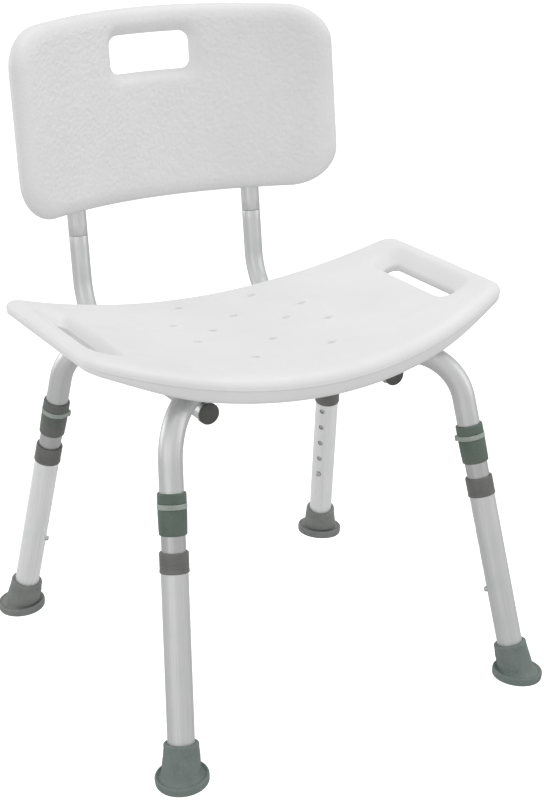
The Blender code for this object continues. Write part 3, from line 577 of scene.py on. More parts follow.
def seat_outline(long_count=110, end_count=44, corner_count=16):
    """Counter-clockwise outline: bowed front and rear edges, straight ends and round corners."""
    inner = SEAT_HALF_W - SEAT_CORNER_R

    def edge(x, sign):
        bow = SEAT_BOW_R if sign > 0 else SEAT_BOW_F
        reach = SEAT_REAR if sign > 0 else SEAT_FRONT
        return sign * (reach + bow * (1 - (x / SEAT_HALF_W) ** 2))

    def corner(xs, sign):
        """Centre of the corner arc, the direction in which it starts, and where the long edge meets it."""
        bow, x = SEAT_BOW_R if sign > 0 else SEAT_BOW_F, xs * inner
        for _ in range(20):
            normal = Vector((2 * bow * x / SEAT_HALF_W ** 2, sign)).normalized()
            x = xs * inner + normal.x * SEAT_CORNER_R
        return (xs * inner, edge(x, sign) - normal.y * SEAT_CORNER_R), math.atan2(normal.y, normal.x), x

    (c_fr, a_fr, x_f), (c_br, a_br, x_r) = corner(1, -1), corner(1, 1)
    (c_bl, a_bl, _), (c_fl, a_fl, _) = corner(-1, 1), corner(-1, -1)
    out = [(x_f * (2 * k / long_count - 1), edge(x_f * (2 * k / long_count - 1), -1))
           for k in range(long_count + 1)]
    out += arc_points(c_fr, SEAT_CORNER_R, a_fr, 0.0, corner_count)[1:]
    out += between((SEAT_HALF_W, c_fr[1]), (SEAT_HALF_W, c_br[1]), end_count)
    out += arc_points(c_br, SEAT_CORNER_R, 0.0, a_br, corner_count)
    out += [(x, edge(x, 1)) for x in (x_r * (1 - 2 * k / long_count) for k in range(1, long_count))]
    out += arc_points(c_bl, SEAT_CORNER_R, a_bl, math.pi, corner_count)
    out += between((-SEAT_HALF_W, c_bl[1]), (-SEAT_HALF_W, c_fl[1]), end_count)
    out += arc_points(c_fl, SEAT_CORNER_R, -math.pi, a_fl, corner_count)[:-1]
    return np.array(out)


def outward(loop):
    """Unit normals of a counter-clockwise loop."""
    t = np.roll(loop, -1, axis=0) - np.roll(loop, 1, axis=0)
    t /= np.linalg.norm(t, axis=1)[:, None]
    return np.stack([t[:, 1], -t[:, 0]], axis=1)


def rounded(half_x, half_y, r, cx, cy, long_count=26, corner_count=10):
    """Counter-clockwise rounded rectangle with evenly divided sides."""
    out, short = [], max(2, long_count // 3)
    x_count, y_count = (long_count, short) if half_x > half_y else (short, long_count)
    for quarter, (sx, sy) in enumerate(((1, 1), (-1, 1), (-1, -1), (1, -1))):
        reach_x, reach_y = sx * (half_x - r), sy * (half_y - r)
        start = math.pi / 2 * quarter
        out += arc_points((cx + reach_x, cy + reach_y), r, start, start + math.pi / 2, corner_count)
        x, y = out[-1]
        out += (between((x, y), (x, cy - reach_y), y_count) if quarter % 2
                else between((x, y), (cx - reach_x, y), x_count))
    return np.array(out)


EDGE_A, EDGE_B = 0.0180, 0.0114  # half axes of the elliptical round-over of the seat's top edge
UNDER_H = 0.0030 - SEAT_SKIRT
CHANNEL_R = TUBE_R + 0.0008
CHANNEL_CLEAR = 0.0185  # nearer than this to a tube's centre line, the underside has its own finer points
DRAIN_SPOTS = [(sign * x, y) for x, y in DRAINS for sign in ((-1, 1) if x else (1,))]


def off_tube(x, y, sign):
    """Level distance from the centre line of one of the two crossing tubes."""
    return np.abs(-sign * x * math.sin(diag) + y * math.cos(diag))


def seat_top_height(points, outline):
    """Height above the ridge of the top surface, from the distance to the outline."""
    d = distance(points, outline)
    u = np.clip(1 - d / EDGE_A, 0, 1)
    drop = EDGE_B * (1 - np.sqrt(1 - u ** 2))
    dish = SEAT_DISH * eased(0.018, 0.093, d)
    wave = np.array([noise.noise(Vector((x * 22, y * 22, 3.1))) for x, y in points]) * 0.00022
    height = SEAT_TOP - drop - dish + wave * np.clip(d / 0.02, 0, 1)
    for x, y in DRAIN_SPOTS:
        r = np.hypot((points[:, 0] - x) / 0.0054, (points[:, 1] - y) / 0.0034)
        height -= 0.0062 * np.clip(1 - r, 0, 1) ** 0.6
        height += 0.00045 * np.exp(-((r - 1.35) / 0.32) ** 2)
    return height


def taper(x):
    """How deep the skirt hangs, next to its depth at the middle: it thins out towards the ends."""
    return 1 - 0.61 * eased(0.135, 0.260, np.abs(x))


def seat_under_z(points):
    """Height of the underside, with a half-round channel over each frame tube."""
    x, y = points[:, 0], points[:, 1]
    z = ridge_z(x) + UNDER_H * taper(x)
    for sign in (-1, 1):
        u = off_tube(x, y, sign)
        groove = FRAME_Z + np.sqrt(np.clip(CHANNEL_R ** 2 - u ** 2, 0, None))
        z = np.where(u < CHANNEL_R, np.maximum(z, groove), z)
    return z


def build_seat():
    """Blow-moulded seat: saddle top with rounded edge, parting bead, skirt, funnelled handle slots and
    underside with tube channels, as one closed surface."""
    outline = seat_outline()
    normal = outward(outline)
    shell = Shell()

    def loop_in(d):
        return outline - normal * d

    def raised(loop, heights):
        return [(x, y, ridge_z(x) + h) for (x, y), h in zip(loop, heights)]

    def under(loop, rise=0.0):
        return [(x, y, z + rise) for (x, y), z in zip(loop, seat_under_z(loop))]

    inner_edge, bead_low = 0.0140, -0.0020
    turns = np.linspace(math.acos(1 - inner_edge / EDGE_A), 0.12, 13)
    rings = []
    top_loop = loop_in(inner_edge)
    rings.append(shell.ring(raised(top_loop, seat_top_height(top_loop, outline))))
    for q in turns[1:]:
        d = EDGE_A * (1 - math.cos(q))
        h = SEAT_TOP - EDGE_B * (1 - math.sqrt(1 - (1 - d / EDGE_A) ** 2))
        rings.append(shell.ring(raised(loop_in(d), [h] * len(outline))))
    skirt = [(0.0, 0.0010), (-0.0002, 0.0007), (-0.0004, 0.0002), (-0.0003, -0.0004), (0.0001, -0.0007),
             (0.0004, -0.0010), (0.0005, -0.0016), (0.0006, -0.0028), (0.0009, 0.0070 - SEAT_SKIRT),
             (0.0013, 0.0036 - SEAT_SKIRT), (0.0020, 0.0018 - SEAT_SKIRT), (0.0032, 0.0005 - SEAT_SKIRT),
             (0.0052, -SEAT_SKIRT), (0.0080, -SEAT_SKIRT), (0.0102, 0.0004 - SEAT_SKIRT),
             (0.0122, 0.0013 - SEAT_SKIRT), (0.0138, 0.0023 - SEAT_SKIRT), (0.0156, 0.0029 - SEAT_SKIRT)]
    thin = taper(outline[:, 0])
    for d, h in skirt:
        loop = outline - normal * (d * thin[:, None] if h < bead_low else d)
        rings.append(shell.ring(raised(loop, h * thin if h < 0 else [h] * len(loop))))
    under_loop = loop_in(0.0175)
    rings.append(shell.ring(under(under_loop)))
    shell.strips(rings)

    top_loops, top_rings, under_loops, under_rings = [top_loop], [rings[0]], [under_loop], [rings[-1]]
    upper = [(0.0136, 0.0), (0.0122, 0.0002), (0.0107, 0.0008), (0.0093, 0.0018), (0.0079, 0.0031),
             (0.0065, 0.0047), (0.0051, 0.0065), (0.0037, 0.0084), (0.0024, 0.0102), (0.0012, 0.0117),
             (0.0004, 0.0128)]
    lower = [(0.0, -0.0025), (0.0, -0.0050), (0.0, -0.0070), (0.0002, -0.0084), (0.0008, -0.0095),
             (0.0017, -0.0100), (0.0026, -0.0096), (0.0033, -0.0088)]
    lip = [(0.0041, -0.0008), (0.0049, -0.0002), (0.0062, 0.0)]
    for sign in (-1, 1):
        def slot_loop(flare):
            return rounded(SLOT_HALF_W + flare, SLOT_HALF_L + 1.7 * flare, 0.009 + 0.8 * flare,
                           sign * SLOT_X, SLOT_Y)
        slot_rings = []
        for flare, drop in upper:
            loop = slot_loop(flare)
            slot_rings.append(shell.ring(raised(loop, seat_top_height(loop, outline) - drop)))
        for flare, h in lower:
            loop = slot_loop(flare)
            slot_rings.append(shell.ring(raised(loop, [h] * len(loop))))
        for flare, rise in lip:
            slot_rings.append(shell.ring(under(slot_loop(flare), rise)))
        shell.strips(slot_rings)
        top_loops.append(slot_loop(upper[0][0]))
        under_loops.append(slot_loop(lip[-1][0]))
        top_rings.append(slot_rings[0])
        under_rings.append(slot_rings[-1])

    extra = cleared(grid(top_loops[0], 0.0030), top_loops, 0.0016)
    for x, y in DRAIN_SPOTS:
        extra = extra[np.hypot(extra[:, 0] - x, extra[:, 1] - y) > 0.0085]
    halos = [(x + r * 1.15 * math.cos(a), y + r * 0.72 * math.sin(a)) for x, y in DRAIN_SPOTS
             for r in np.linspace(0.0006, 0.0075, 13) for a in np.linspace(0, TURN, 25)[:-1]]
    extra = np.concatenate([extra, np.array(halos)])
    shell.sheet(top_loops, top_rings, extra, raised(extra, seat_top_height(extra, outline)))

    extra = cleared(grid(under_loops[0], 0.0045), under_loops, 0.0022)
    lines = []
    for s in (-1, 1):
        extra = extra[off_tube(extra[:, 0], extra[:, 1], s) > CHANNEL_CLEAR]
        for u in (0.0, 0.004, 0.008, 0.0105, 0.0122, 0.0131, CHANNEL_R - 0.00005, CHANNEL_R + 0.0001, 0.0160):
            for side in ((-1, 1) if u else (1,)):
                for t in np.arange(-0.215, 0.216, 0.0040):
                    p = (t * math.cos(diag) - s * side * u * math.sin(diag),
                         s * t * math.sin(diag) + side * u * math.cos(diag))
                    if off_tube(*p, -s) > CHANNEL_CLEAR:
                        lines.append(p)
    cross = grid(np.array([(-0.036, -0.027), (0.036, -0.027), (0.036, 0.027), (-0.036, 0.027)]), 0.0013)
    for s in (-1, 1):
        cross = cross[off_tube(cross[:, 0], cross[:, 1], s) < CHANNEL_CLEAR + 0.0002]
    lines = cleared(np.concatenate([np.array(lines), cross]), under_loops, 0.0014)
    extra = np.concatenate([extra, lines])
    shell.sheet(under_loops, under_rings, extra, under(extra))
    piece("moulded_seat", shell, shell.points, "seat", "frame", "seat", sharp=55.0)


# ---- backrest ----
def back_outline(corner_count=22, side_count=26, long_count=84):
    """Counter-clockwise outline in x and height, with slightly crowned top and bottom edges."""
    hw, rt, rb = BACK_HALF_W, BACK_R_TOP, BACK_R_BOTTOM

    def top(x):
        return BACK_TOP - 0.003 * (x / hw) ** 2

    def bottom(x):
        return BACK_BOTTOM + 0.009 * (x / hw) ** 2

    xs = [(hw - rb) * (2 * k / long_count - 1) for k in range(long_count + 1)]
    out = [(x, bottom(x)) for x in xs]
    zb, zt = bottom(hw - rb) + rb, top(hw - rt) - rt
    out += arc_points((hw - rb, zb), rb, -math.pi / 2, 0.0, corner_count)[1:]
    out += between((hw, zb), (hw, zt), side_count)
    out += arc_points((hw - rt, zt), rt, 0.0, math.pi / 2, corner_count)
    out += [(x, top(x)) for x in ((hw - rt) * (1 - 2 * k / long_count) for k in range(1, long_count))]
    out += arc_points((rt - hw, zt), rt, math.pi / 2, math.pi, corner_count)
    out += between((-hw, zt), (-hw, zb), side_count)
    out += arc_points((rb - hw, zb), rb, math.pi, 1.5 * math.pi, corner_count)[:-1]
    return np.array(out)


def back_frame(x, v):
    """Middle-surface point and forward normal of the curved, leaning back."""
    mid = Vector((x, BACK_Y0 - BACK_SAG * (x / BACK_HALF_W) ** 2 + BACK_LEAN * (v - BACK_REF_Z), v))
    normal = Vector((-2 * BACK_SAG * x / BACK_HALF_W ** 2, -1.0, BACK_LEAN)).normalized()
    return mid, normal


BACK_EDGE = 0.0200  # how far in from the outline the round-over of the back reaches


def back_half(d):
    """Half thickness at a distance in from the outline."""
    u = max(0.0, 1 - d / BACK_EDGE)
    return BACK_THICK / 2 * math.sqrt(max(0.0, 1 - u * u))


def boss_depth(x, v):
    """How far behind the middle surface the round boss over a post reaches, or 0."""
    mid, forward = back_frame(x, v)
    best = 0.0
    for sign in (-1, 1):
        gap_x = mid.x - sign * BAR_X
        gap_y = mid.y - (SEAM_Y + POST_LEAN * (v - SEAM_Z))
        end = clamped((POST_TOP + 0.010 - v) / 0.016)
        start = clamped((v - BACK_BOTTOM - 0.004) / 0.004)
        radius = BOSS_R * math.sqrt(max(0.0, 1 - (1 - end) ** 2))
        b = gap_x * forward.x + gap_y * forward.y
        inner = b * b - (gap_x ** 2 + gap_y ** 2 - radius ** 2)
        if inner > 0 and start > 0:
            best = max(best, (b + math.sqrt(inner)) * start)
    return best


def rear_depth(x, v, half):
    """Smooth union of the plain rear surface and the bosses."""
    boss = boss_depth(x, v)
    blend = 0.0035
    mix = clamped(0.5 + 0.5 * (boss - half) / blend)
    return half * (1 - mix) + boss * mix + blend * mix * (1 - mix)


def pebbles(x, v):
    """Relief of the leather-like grain: irregular lumps, drawn out and parted by fine creases."""
    along, across = 0.82 * x + 0.57 * v, 0.82 * v - 0.57 * x
    bend = noise.noise(Vector((x * 55, v * 55, 0)))
    p = Vector((along * 150 + 1.3 * bend, across * 235 - 0.9 * bend, 5.0))
    first, second = noise.voronoi(p, distance_metric="DISTANCE")[0][:2]
    crease = min(1.0, (second - first) / 0.34)
    lump = noise.noise(Vector((along * 210, across * 320, 9.0)))
    return 0.00050 * (crease - 0.6) + 0.00046 * lump


def build_back():
    """Blow-moulded back: curved panel with rounded rim, grained front, hand slot and two rear bosses."""
    outline = back_outline()
    normal = outward(outline)
    shell = Shell()
    mid_v, half_v = (HAND_BOTTOM + HAND_TOP) / 2, (HAND_TOP - HAND_BOTTOM) / 2

    def on(x, v, h):
        mid, forward = back_frame(x, v)
        return mid + forward * h

    def front_height(p, d, drop=0.0, grained=1.0):
        ease = clamped((d - 0.004) / 0.014)
        out_x = max(0.0, abs(p[0]) - HAND_HALF_W + 0.010)
        out_v = max(0.0, abs(p[1] - mid_v) - half_v + 0.010)
        sink = 0.0018 * math.exp(-((math.hypot(out_x, out_v) - 0.010) / 0.019) ** 2)
        return back_half(d) - drop - sink + pebbles(*p) * ease * grained

    def rear_height(p, d):
        return -rear_depth(*p, back_half(d))

    turns = np.linspace(1.07, 0.10, 14)
    depths = [BACK_EDGE * (1 - math.cos(q)) for q in turns]
    rings = [shell.ring([on(*p, front_height(p, d)) for p in outline - normal * d]) for d in depths]
    for d, h in ((-0.0001, 0.0009), (-0.0004, 0.0003), (-0.0004, -0.0003), (-0.0001, -0.0009)):
        rings.append(shell.ring([on(*p, h) for p in outline - normal * d]))
    for d in reversed(depths):
        rings.append(shell.ring([on(*p, rear_height(p, d)) for p in outline - normal * d]))
    shell.strips(rings)

    def hand_loop(flare):
        return rounded(HAND_HALF_W + flare, half_v + flare, 0.0115 + 0.75 * flare, 0.0, mid_v, 48, 12)

    funnel = [(0.0150, 0.0), (0.0136, 0.0001), (0.0120, 0.0004), (0.0104, 0.0009), (0.0088, 0.0017),
              (0.0072, 0.0028), (0.0056, 0.0042), (0.0041, 0.0058), (0.0027, 0.0075), (0.0014, 0.0092),
              (0.0005, 0.0106), (0.0, 0.0120)]
    hand_rings = []
    for flare, drop in funnel:
        ease, loop = max(0.0, (flare - 0.0060) / 0.0090), hand_loop(flare)
        hand_rings.append(shell.ring([on(*p, front_height(p, d, drop, ease))
                                      for p, d in zip(loop, distance(loop, outline))]))
    for flare, drop in reversed(funnel):
        loop = hand_loop(flare)
        hand_rings.append(shell.ring([on(*p, drop - back_half(d))
                                      for p, d in zip(loop, distance(loop, outline))]))
    shell.strips(hand_rings)

    loops = [outline - normal * depths[0], hand_loop(funnel[0][0])]
    for end, height, spacing, margin in ((0, front_height, 0.00145, 0.0008),
                                         (-1, rear_height, 0.0026, 0.0014)):
        extra = cleared(grid(loops[0], spacing), loops, margin)
        shell.sheet(loops, [rings[end], hand_rings[end]], extra,
                    [on(*p, height(p, d)) for p, d in zip(extra, distance(extra, outline))])
    piece("moulded_backrest", shell, shell.points, "back", "back", "backrest", sharp=55.0)


# ---- metal frame ----
def build_cross_tubes():
    """Two bent tubes from leg to leg; the second dips under the first where they cross."""
    dip = 2 * TUBE_R + 0.0012
    for name, first, last, drop in (("cross_tube_a", "fl", "br", 0.0), ("cross_tube_b", "bl", "fr", dip)):
        start = leg_point(first, BAND_Z) + leg_axis(first) * JOIN_T
        end = leg_point(last, BAND_Z) + leg_axis(last) * JOIN_T
        c1, c2 = leg_point(first, FRAME_Z), leg_point(last, FRAME_Z)
        way = (c2 - c1).normalized()
        middle = (c1 + c2) / 2
        if drop:
            low = Vector((0, 0, -drop))
            path = [start, c1, middle - way * 0.056, middle - way * 0.022 + low, middle + way * 0.022 + low,
                    middle + way * 0.056, c2, end]
            points = fillet(path, [BEND_R] + [DIP_R] * 4 + [BEND_R], 14)
        else:
            points = fillet([start, c1, c2, end], [BEND_R, BEND_R], 22)
        holes = []
        for s, r in ((SCREW_S, SCREW_HOLE_R), (RIVET_S, RIVET_HOLE_R)):
            for sign in (-1, 1):
                at = along_at(points, middle + way * (s * sign))
                holes += [(at, 0.0, r), (at, math.pi, r)]
        pipe(name + "_bent", points, TUBE_R, TUBE_R - TUBE_WALL, "tube", "frame", name, (0, 0, 1), holes)


def along_at(points, spot):
    """How far along the path it passes over or under the spot."""
    walked, best = 0.0, (1.0, 0.0)
    for a, b in zip(points, points[1:]):
        step = (b - a).xy
        f = clamped((spot.xy - a.xy).dot(step) / step.length_squared)
        best = min(best, ((a.xy + step * f - spot.xy).length, walked + f * (b - a).length))
        walked += (b - a).length
    return best[1]


def build_fasteners():
    """Screws up into the seat, and rivets through each bar and cross tube."""
    under, top, low = FRAME_Z - TUBE_R, FRAME_Z + TUBE_R, BAR_Z - BAR_R
    head = [(0, under - 0.0026), (0.0016, under - 0.0022), (0.0019, under - 0.0034), (0.0040, under - 0.0034),
            (0.0056, under - 0.0018), (0.0058, under - GAP), (0.0030, under - GAP), (0.0030, top - 0.0020),
            (0, top - 0.0010)]
    rivet = [(0, low - 0.0026), (0.0034, low - 0.0022), (0.0050, low - GAP), (0.0024, low - GAP),
             (0.0024, top + GAP), (0.0050, top + GAP), (0.0034, top + 0.0022), (0, top + 0.0026)]
    for key, (sx, sy) in CORNERS.items():
        for name, node, profile, s in (("pan_head_screw_", "seat_screw_", soft(head, 0.0005), SCREW_S),
                                       ("domed_rivet_", "bar_rivet_", soft(rivet, 0.0008), RIVET_S)):
            spot = Matrix.Translation((s * math.cos(diag) * sx, s * math.sin(diag) * sy, 0))
            turned(name + key, profile, spot, "steel", "frame", node + key, 36)


def build_spring(name, matrix, reach, hold, length, width, body):
    """Folded leaf spring in the local X-Z plane: one arm under the button, one along the far wall."""
    thick = 0.0005
    path = [(reach, 0, -0.004), (reach, 0, 0.007), (-hold + 0.0006, 0, length + 0.002), (-hold, 0, 0.004)]
    path = fillet(path, [0.006, 0.0012], 12)
    shell, grain, rings = Shell(), [], []
    for k, p in enumerate(path):
        d = (path[min(k + 1, len(path) - 1)] - path[max(k - 1, 0)]).normalized()
        n = Vector((-d.z, 0, d.x)) * (thick / 2)
        rim = [(0.5, 0.6), (0.46, 1.0), (-0.46, 1.0), (-0.5, 0.6), (-0.5, -0.6), (-0.46, -1.0), (0.46, -1.0),
               (0.5, -0.6)]
        ring = [p + n * b + Vector((0, a * width, 0)) for a, b in rim]
        grain += ring
        rings.append(shell.ring([matrix @ q for q in ring]))
    shell.strips(rings)
    shell.faces += [tuple(rings[0]), tuple(reversed(rings[-1]))]
    spring = piece("folded_" + name, shell, grain, "steel", body, name)
    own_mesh(spring)


def build_back_frame():
    """Bars under the seat with their end plugs, and the posts that slide into them with their catches."""
    post_scale = math.sqrt(1 + POST_LEAN ** 2)
    post_len = (POST_TOP - SEAM_Z) * post_scale
    for key, sign in SIDES.items():
        x = sign * BAR_X
        corner_y = SEAM_Y + POST_LEAN * (BAR_Z - SEAM_Z)
        points = fillet([(x, BAR_FRONT, BAR_Z), (x, corner_y, BAR_Z), (x, SEAM_Y, SEAM_Z)], [BAR_BEND_R], 22)
        total = sum((b - a).length for a, b in zip(points, points[1:]))
        holes = []
        for d in (-1, 1):
            along = RIVET_S * math.sin(diag) * d - BAR_FRONT
            holes += [(along, 0.0, RIVET_HOLE_R), (along, math.pi, RIVET_HOLE_R)]
        holes.append((total - CATCH_DROP, math.pi, HOLE_R))
        pipe("bent_back_bar_" + key, points, BAR_R, BAR_BORE, "tube", "frame", "back_bar_" + key,
             (0, 0, 1), holes)
        base = post_frame(sign)
        up = base.to_3x3() @ Vector((0, 0, 1))
        start = base @ Vector((0, 0, GAP))
        spigot = [(BAR_R - 0.0002, 0.0001), (BAR_R - 0.0006, 0.0), (0.0092, 0.0), (0.0092, -SPIGOT + 0.001),
                  (0.0089, -SPIGOT), (POST_BORE, -SPIGOT)]
        pipe("straight_back_post_" + key, [start, start + up * (post_len - GAP)], BAR_R, POST_BORE, "tube",
             "back", "back_post_" + key, (0, 1, 0), spigot=spigot)
        button = [(0, 0.0046), (0.0038, 0.0046), (0.0038, 0.0056), (BUTTON_R, 0.0056), (BUTTON_R, 0.0123),
                  (0.0020, 0.0134), (0, 0.0138)]
        fold = base @ Matrix.Translation((0, 0, -CATCH_DROP)) @ Matrix.Rotation(math.pi, 4, "X")
        build_spring("back_spring_" + key, fold, 0.0040, 0.0063, 0.018, 0.005, "back")
        turned("back_snap_button_" + key, soft(button, 0.0009, 5), aimed(base, -CATCH_DROP), "steel",
               "catch_" + key, "back_button_" + key, 36)
        front = frame_of((x, BAR_FRONT, BAR_Z), (0, -1, 0), (1, 0, 0))
        cap = [(0, -0.0070), (0.0085, -0.0070), (0.0092, -0.0050), (0.0092, GAP), (0.0112, GAP),
               (0.0119, 0.0010), (0.0119, 0.0028), (0.0106, 0.0041), (0.0060, 0.0047), (0, 0.0049)]
        turned("bar_end_plug_" + key, soft(cap, 0.0008, 5), front, "cap", "frame", "bar_cap_" + key)


# ---- legs ----
def build_leg(key):
    base, body, rear = leg_frame(key), "leg_" + key, "" if key[0] == "f" else "_rear"
    axis, top = leg_axis(key), leg_point(key, BAND_Z)
    spig = TUBE_R - TUBE_WALL - GAP
    begin, past_button = JOIN_T + GAP, 0.022
    spigot = [(TUBE_R - 0.0002, 0.0001), (TUBE_R - 0.0005, 0.0), (spig, 0.0), (spig, -0.0320),
              (spig - 0.0006, -0.0330), (0.0093, -0.0330)]
    inner = [top + axis * begin, top + axis * (BUTTON_T + past_button)]
    pipe("inner_leg_tube_" + key, inner, TUBE_R, TUBE_R - TUBE_WALL, "inner", "frame", "inner_leg_" + key,
         inward(key), [(BUTTON_T - begin, 0.0, HOLE_R)], spigot)
    bore = TUBE_R + TOUCH
    sleeve = [(bore, -0.0138), (0.0143, -0.0138), (0.0149, -0.0133), (0.0152, -0.0122),
              (0.0152, -0.0034), (0.0150, -0.0031), (0.0142, -0.0031), (0.0142, 0.0031), (0.0150, 0.0031),
              (0.0152, 0.0034), (0.0152, 0.0080), (0.0150, 0.0200), (0.0147, 0.0292), (0.0140, 0.0300),
              (bore, 0.0300)]
    turned("leg_joint_sleeve_" + key, soft(sleeve, 0.0006), base, "sleeve" + rear, "frame",
           "leg_sleeve_" + key)
    build_clip(key, base)
    holes = [(HOLE_FIRST + HOLE_PITCH * k - OUTER_T, 0.0, HOLE_R) for k in range(HOLE_COUNT)]
    ends = [top + axis * OUTER_T, top + axis * (END_T - OUTER_LIFT)]
    # On the rear legs the outer tube takes the brighter outer_rear look, which is painted light.
    pipe("outer_leg_tube_" + key, ends, OUTER_R, OUTER_BORE, "outer" + rear, body, "outer_leg_" + key,
         inward(key), holes)
    collar = [(TUBE_R + GAP, 0.0474), (0.0146, 0.0474), (0.0152, 0.0479), (0.0154, 0.0488), (0.0153, 0.0655),
              (0.0156, 0.0668), (0.0156, 0.0684), (0.0151, 0.0690), (OUTER_R + TOUCH, 0.0690),
              (OUTER_R + TOUCH, 0.0487), (TUBE_R + GAP, 0.0487)]
    turned("leg_tube_collar_" + key, soft(collar, 0.0005), base, "collar", body, "leg_collar_" + key)
    button = [(0, 0.0066), (0.0048, 0.0066), (0.0048, 0.0078), (BUTTON_R, 0.0078), (BUTTON_R, 0.0163),
              (0.0021, 0.0175), (0, 0.0179)]
    fold = base @ Matrix.Translation((0, 0, BUTTON_T)) @ Matrix.Rotation(math.pi, 4, "X")
    build_spring("button_spring_" + key, fold, 0.0060, 0.0096, 0.026, 0.007, "frame")
    turned("height_button_" + key, soft(button, 0.0010, 5), aimed(base, BUTTON_T), "steel", "button_" + key,
           "leg_button_" + key, 36)
    build_foot(key, "foot" + rear)


def build_clip(key, base):
    """Spring clip in the sleeve's groove: a band with a grooved finger tab on its inner side."""
    half, tab, inner, outer = 0.0028, 0.0182, 0.0144, 0.0156
    shell, grain = Shell(), []
    band = soft([(inner, -half), (outer, -half), (outer, half), (inner, half)], 0.0006)
    steps = 96
    rings = []
    for k in range(steps):
        a = TURN * k / steps
        near = math.exp(-(math.remainder(a, TURN) / 0.20) ** 4)
        ring = []
        for r, z in band:
            out = near if r > (inner + outer) / 2 else 0.0
            bulge = (tab - outer) * out
            ridge = 0.00030 * out * math.cos(z * TURN / 0.0018) if abs(z) < 0.7 * half else 0.0
            local = Vector(((r + bulge + ridge) * math.cos(a), (r + bulge + ridge) * math.sin(a), z))
            grain.append(local)
            ring.append(base @ local)
        rings.append(shell.ring(ring))
    shell.strips(rings + rings[:1])
    piece("snap_clip_band_" + key, shell, grain, "clip", "frame", "sleeve_clip_" + key)


def build_foot(key, look):
    """Rubber tip: brimmed flange on the floor, flowing into a tapered cup that leans with the leg, and the
    steel washer that the tube stands on."""
    at, axis = leg_point(key, FLOOR_Z), leg_axis(key)
    lean = frame_of(at, axis * -1, inward(key))
    sole_r = 0.0286
    lift = Vector((0, 0, 0.97 * sole_r * SOLE_LEAN))
    flat = frame_of(at + lift, (CORNERS[key][0] * SOLE_LEAN, 0, 1), inward(key))
    tread = [(0.0, 0.0022), (0.0135, 0.0022), (0.0150, 0.0008), (0.0153, 0.0), (0.0178, 0.0), (0.0182, 0.0007),
             (0.0192, 0.0007), (0.0196, 0.0), (0.0221, 0.0), (0.0225, 0.0007), (0.0235, 0.0007), (0.0239, 0.0)]
    flange = [(0.0264, 0.0), (0.0276, 0.0005), (0.0282, 0.0015), (0.0285, 0.0038), (sole_r, 0.0062),
              (sole_r, 0.0076), (0.0283, 0.0087), (0.0277, 0.0095), (0.0268, 0.0099), (0.0259, 0.0097),
              (0.0251, 0.0091), (0.0241, 0.0088), (0.0230, 0.0089)]
    cup = [(0.0221, 0.0094, 0.06), (0.0214, 0.0104, 0.12), (0.0210, 0.0120, 0.20), (0.0208, 0.0142, 0.30),
           (0.0205, 0.0180, 0.46), (0.0202, 0.0220, 0.62), (0.0198, 0.0265, 0.80), (0.0194, 0.0310, 1.0),
           (0.0189, 0.0360, 1.0), (0.0186, 0.0392, 1.0), (0.0187, 0.0406, 1.0), (0.0187, 0.0420, 1.0),
           (0.0184, 0.0431, 1.0), (0.0177, 0.0438, 1.0), (0.0165, 0.0441, 1.0), (0.0152, 0.0439, 1.0),
           (OUTER_R + TOUCH, 0.0432, 1.0), (OUTER_R + TOUCH, 0.0130, 1.0), (OUTER_R + TOUCH, 0.0104, 1.0),
           (0.0, 0.0104, 1.0)]
    tilt = {spot: 0.0 for spot in tread + flange} | {(r, h): t for r, h, t in cup}

    def ring_at(r, a, h):
        t = tilt[(r, h)]
        local = Vector((r * math.cos(a), r * math.sin(a), h))
        along = Vector((axis.x, axis.y, 0)) * (h / axis.z * min(1.0, 4 * t))
        return (flat @ local + along).lerp(lean @ local, t)

    washer = [(0.0040, -0.0120), (0.0138, -0.0120), (0.0138, -0.0108), (0.0040, -0.0108)]
    turned("steel_washer_" + key, soft(washer, 0.0003), frame_of(at, axis, inward(key)), "steel", "leg_" + key,
           "foot_washer_" + key, 48)
    turned("rubber_tip_" + key, list(tilt), None, look, "leg_" + key, "foot_" + key, 96, ring_at)


# ---- floor, light and camera ----
def seen_as(tree, seen, otherwise, socket):
    """Gives a strength one value for the camera and another for the rays that light the stool."""
    ranged = tree.nodes.new("ShaderNodeMapRange")
    ranged.inputs["To Min"].default_value = otherwise
    ranged.inputs["To Max"].default_value = seen
    ray = tree.nodes.new("ShaderNodeLightPath")
    tree.links.new(ray.outputs["Is Camera Ray"], ranged.inputs["Value"])
    tree.links.new(ranged.outputs["Result"], socket)


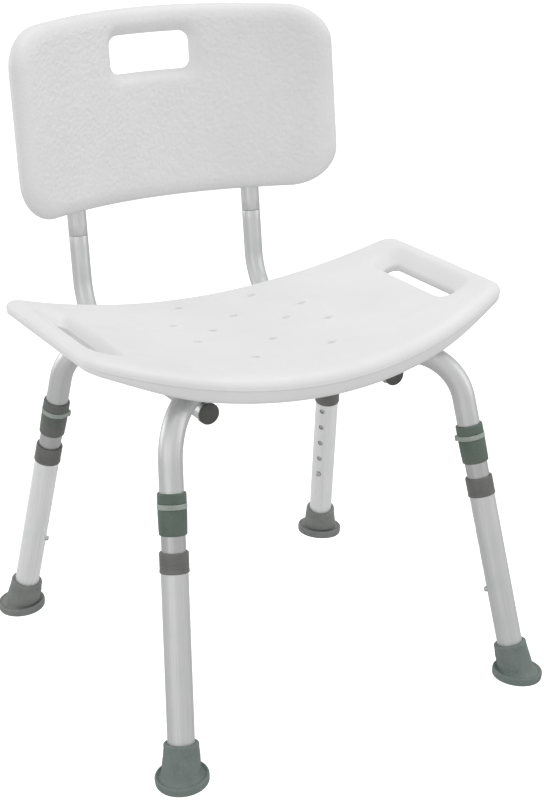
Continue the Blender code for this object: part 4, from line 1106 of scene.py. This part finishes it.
def build_stage():
    """White paper floor and sky, four softboxes and the camera."""
    floor_mesh = bpy.data.meshes.new("studio_floor")
    bm = bmesh.new()
    bmesh.ops.create_circle(bm, cap_ends=True, radius=16.0, segments=96)
    bm.to_mesh(floor_mesh)
    bm.free()
    paper = bpy.data.materials.new("studio_paper")
    paper.use_nodes = True
    bsdf = paper.node_tree.nodes["Principled BSDF"]
    bsdf.inputs["Base Color"].default_value = (0.42, 0.42, 0.42, 1)
    bsdf.inputs["Roughness"].default_value = 0.9
    bsdf.inputs["Specular IOR Level"].default_value = 0.1
    bsdf.inputs["Emission Color"].default_value = (1, 1, 1, 1)
    seen_as(paper.node_tree, 0.95, 0.19, bsdf.inputs["Emission Strength"])
    floor_mesh.materials.append(paper)
    legs_drawn_out = HOLE_PITCH * HOLE_COUNT  # the floor lies low enough for them
    placed("studio_floor", floor_mesh, (0, 0, -legs_drawn_out))

    world = bpy.data.worlds.new("studio")
    bpy.context.scene.world = world
    world.use_nodes = True
    sky = world.node_tree.nodes["Background"]
    sky.inputs["Color"].default_value = (1, 1, 1, 1)
    seen_as(world.node_tree, 1.0, 0.81, sky.inputs["Strength"])
    for name, where, size, power in (("top_softbox", (0.60, 0.1, 2.1), 0.9, 7.0),
                                     ("left_softbox", (-2.1, -1.3, 0.9), 2.0, 6.0),
                                     ("rear_left_softbox", (-1.3, 1.5, 0.8), 1.0, 5.0),
                                     ("right_softbox", (1.8, -1.2, 1.0), 1.2, 4.0)):
        lamp = bpy.data.lights.new(name, "AREA")
        lamp.shape = "SQUARE"
        lamp.size = size
        lamp.energy = power
        towards = Vector((0, 0, 0.4)) - Vector(where)
        placed(name, lamp, where).rotation_euler = towards.to_track_quat("-Z", "Y").to_euler()

    lens = bpy.data.cameras.new("studio_camera")
    lens.sensor_fit = "VERTICAL"
    lens.sensor_height = 24.0
    lens.lens = 51.38
    lens.clip_end = 100.0
    camera = placed("studio_camera", lens, (-0.8806, -1.5909, 1.0185))
    camera.rotation_euler = (math.radians(68.5208), 0.0, math.radians(-29.7104))
    bpy.context.scene.camera = camera
    bpy.context.scene.view_settings.view_transform = "Standard"


build_stage()
build_seat()
build_back()
build_cross_tubes()
build_fasteners()
build_back_frame()
for corner in CORNERS:
    build_leg(corner)
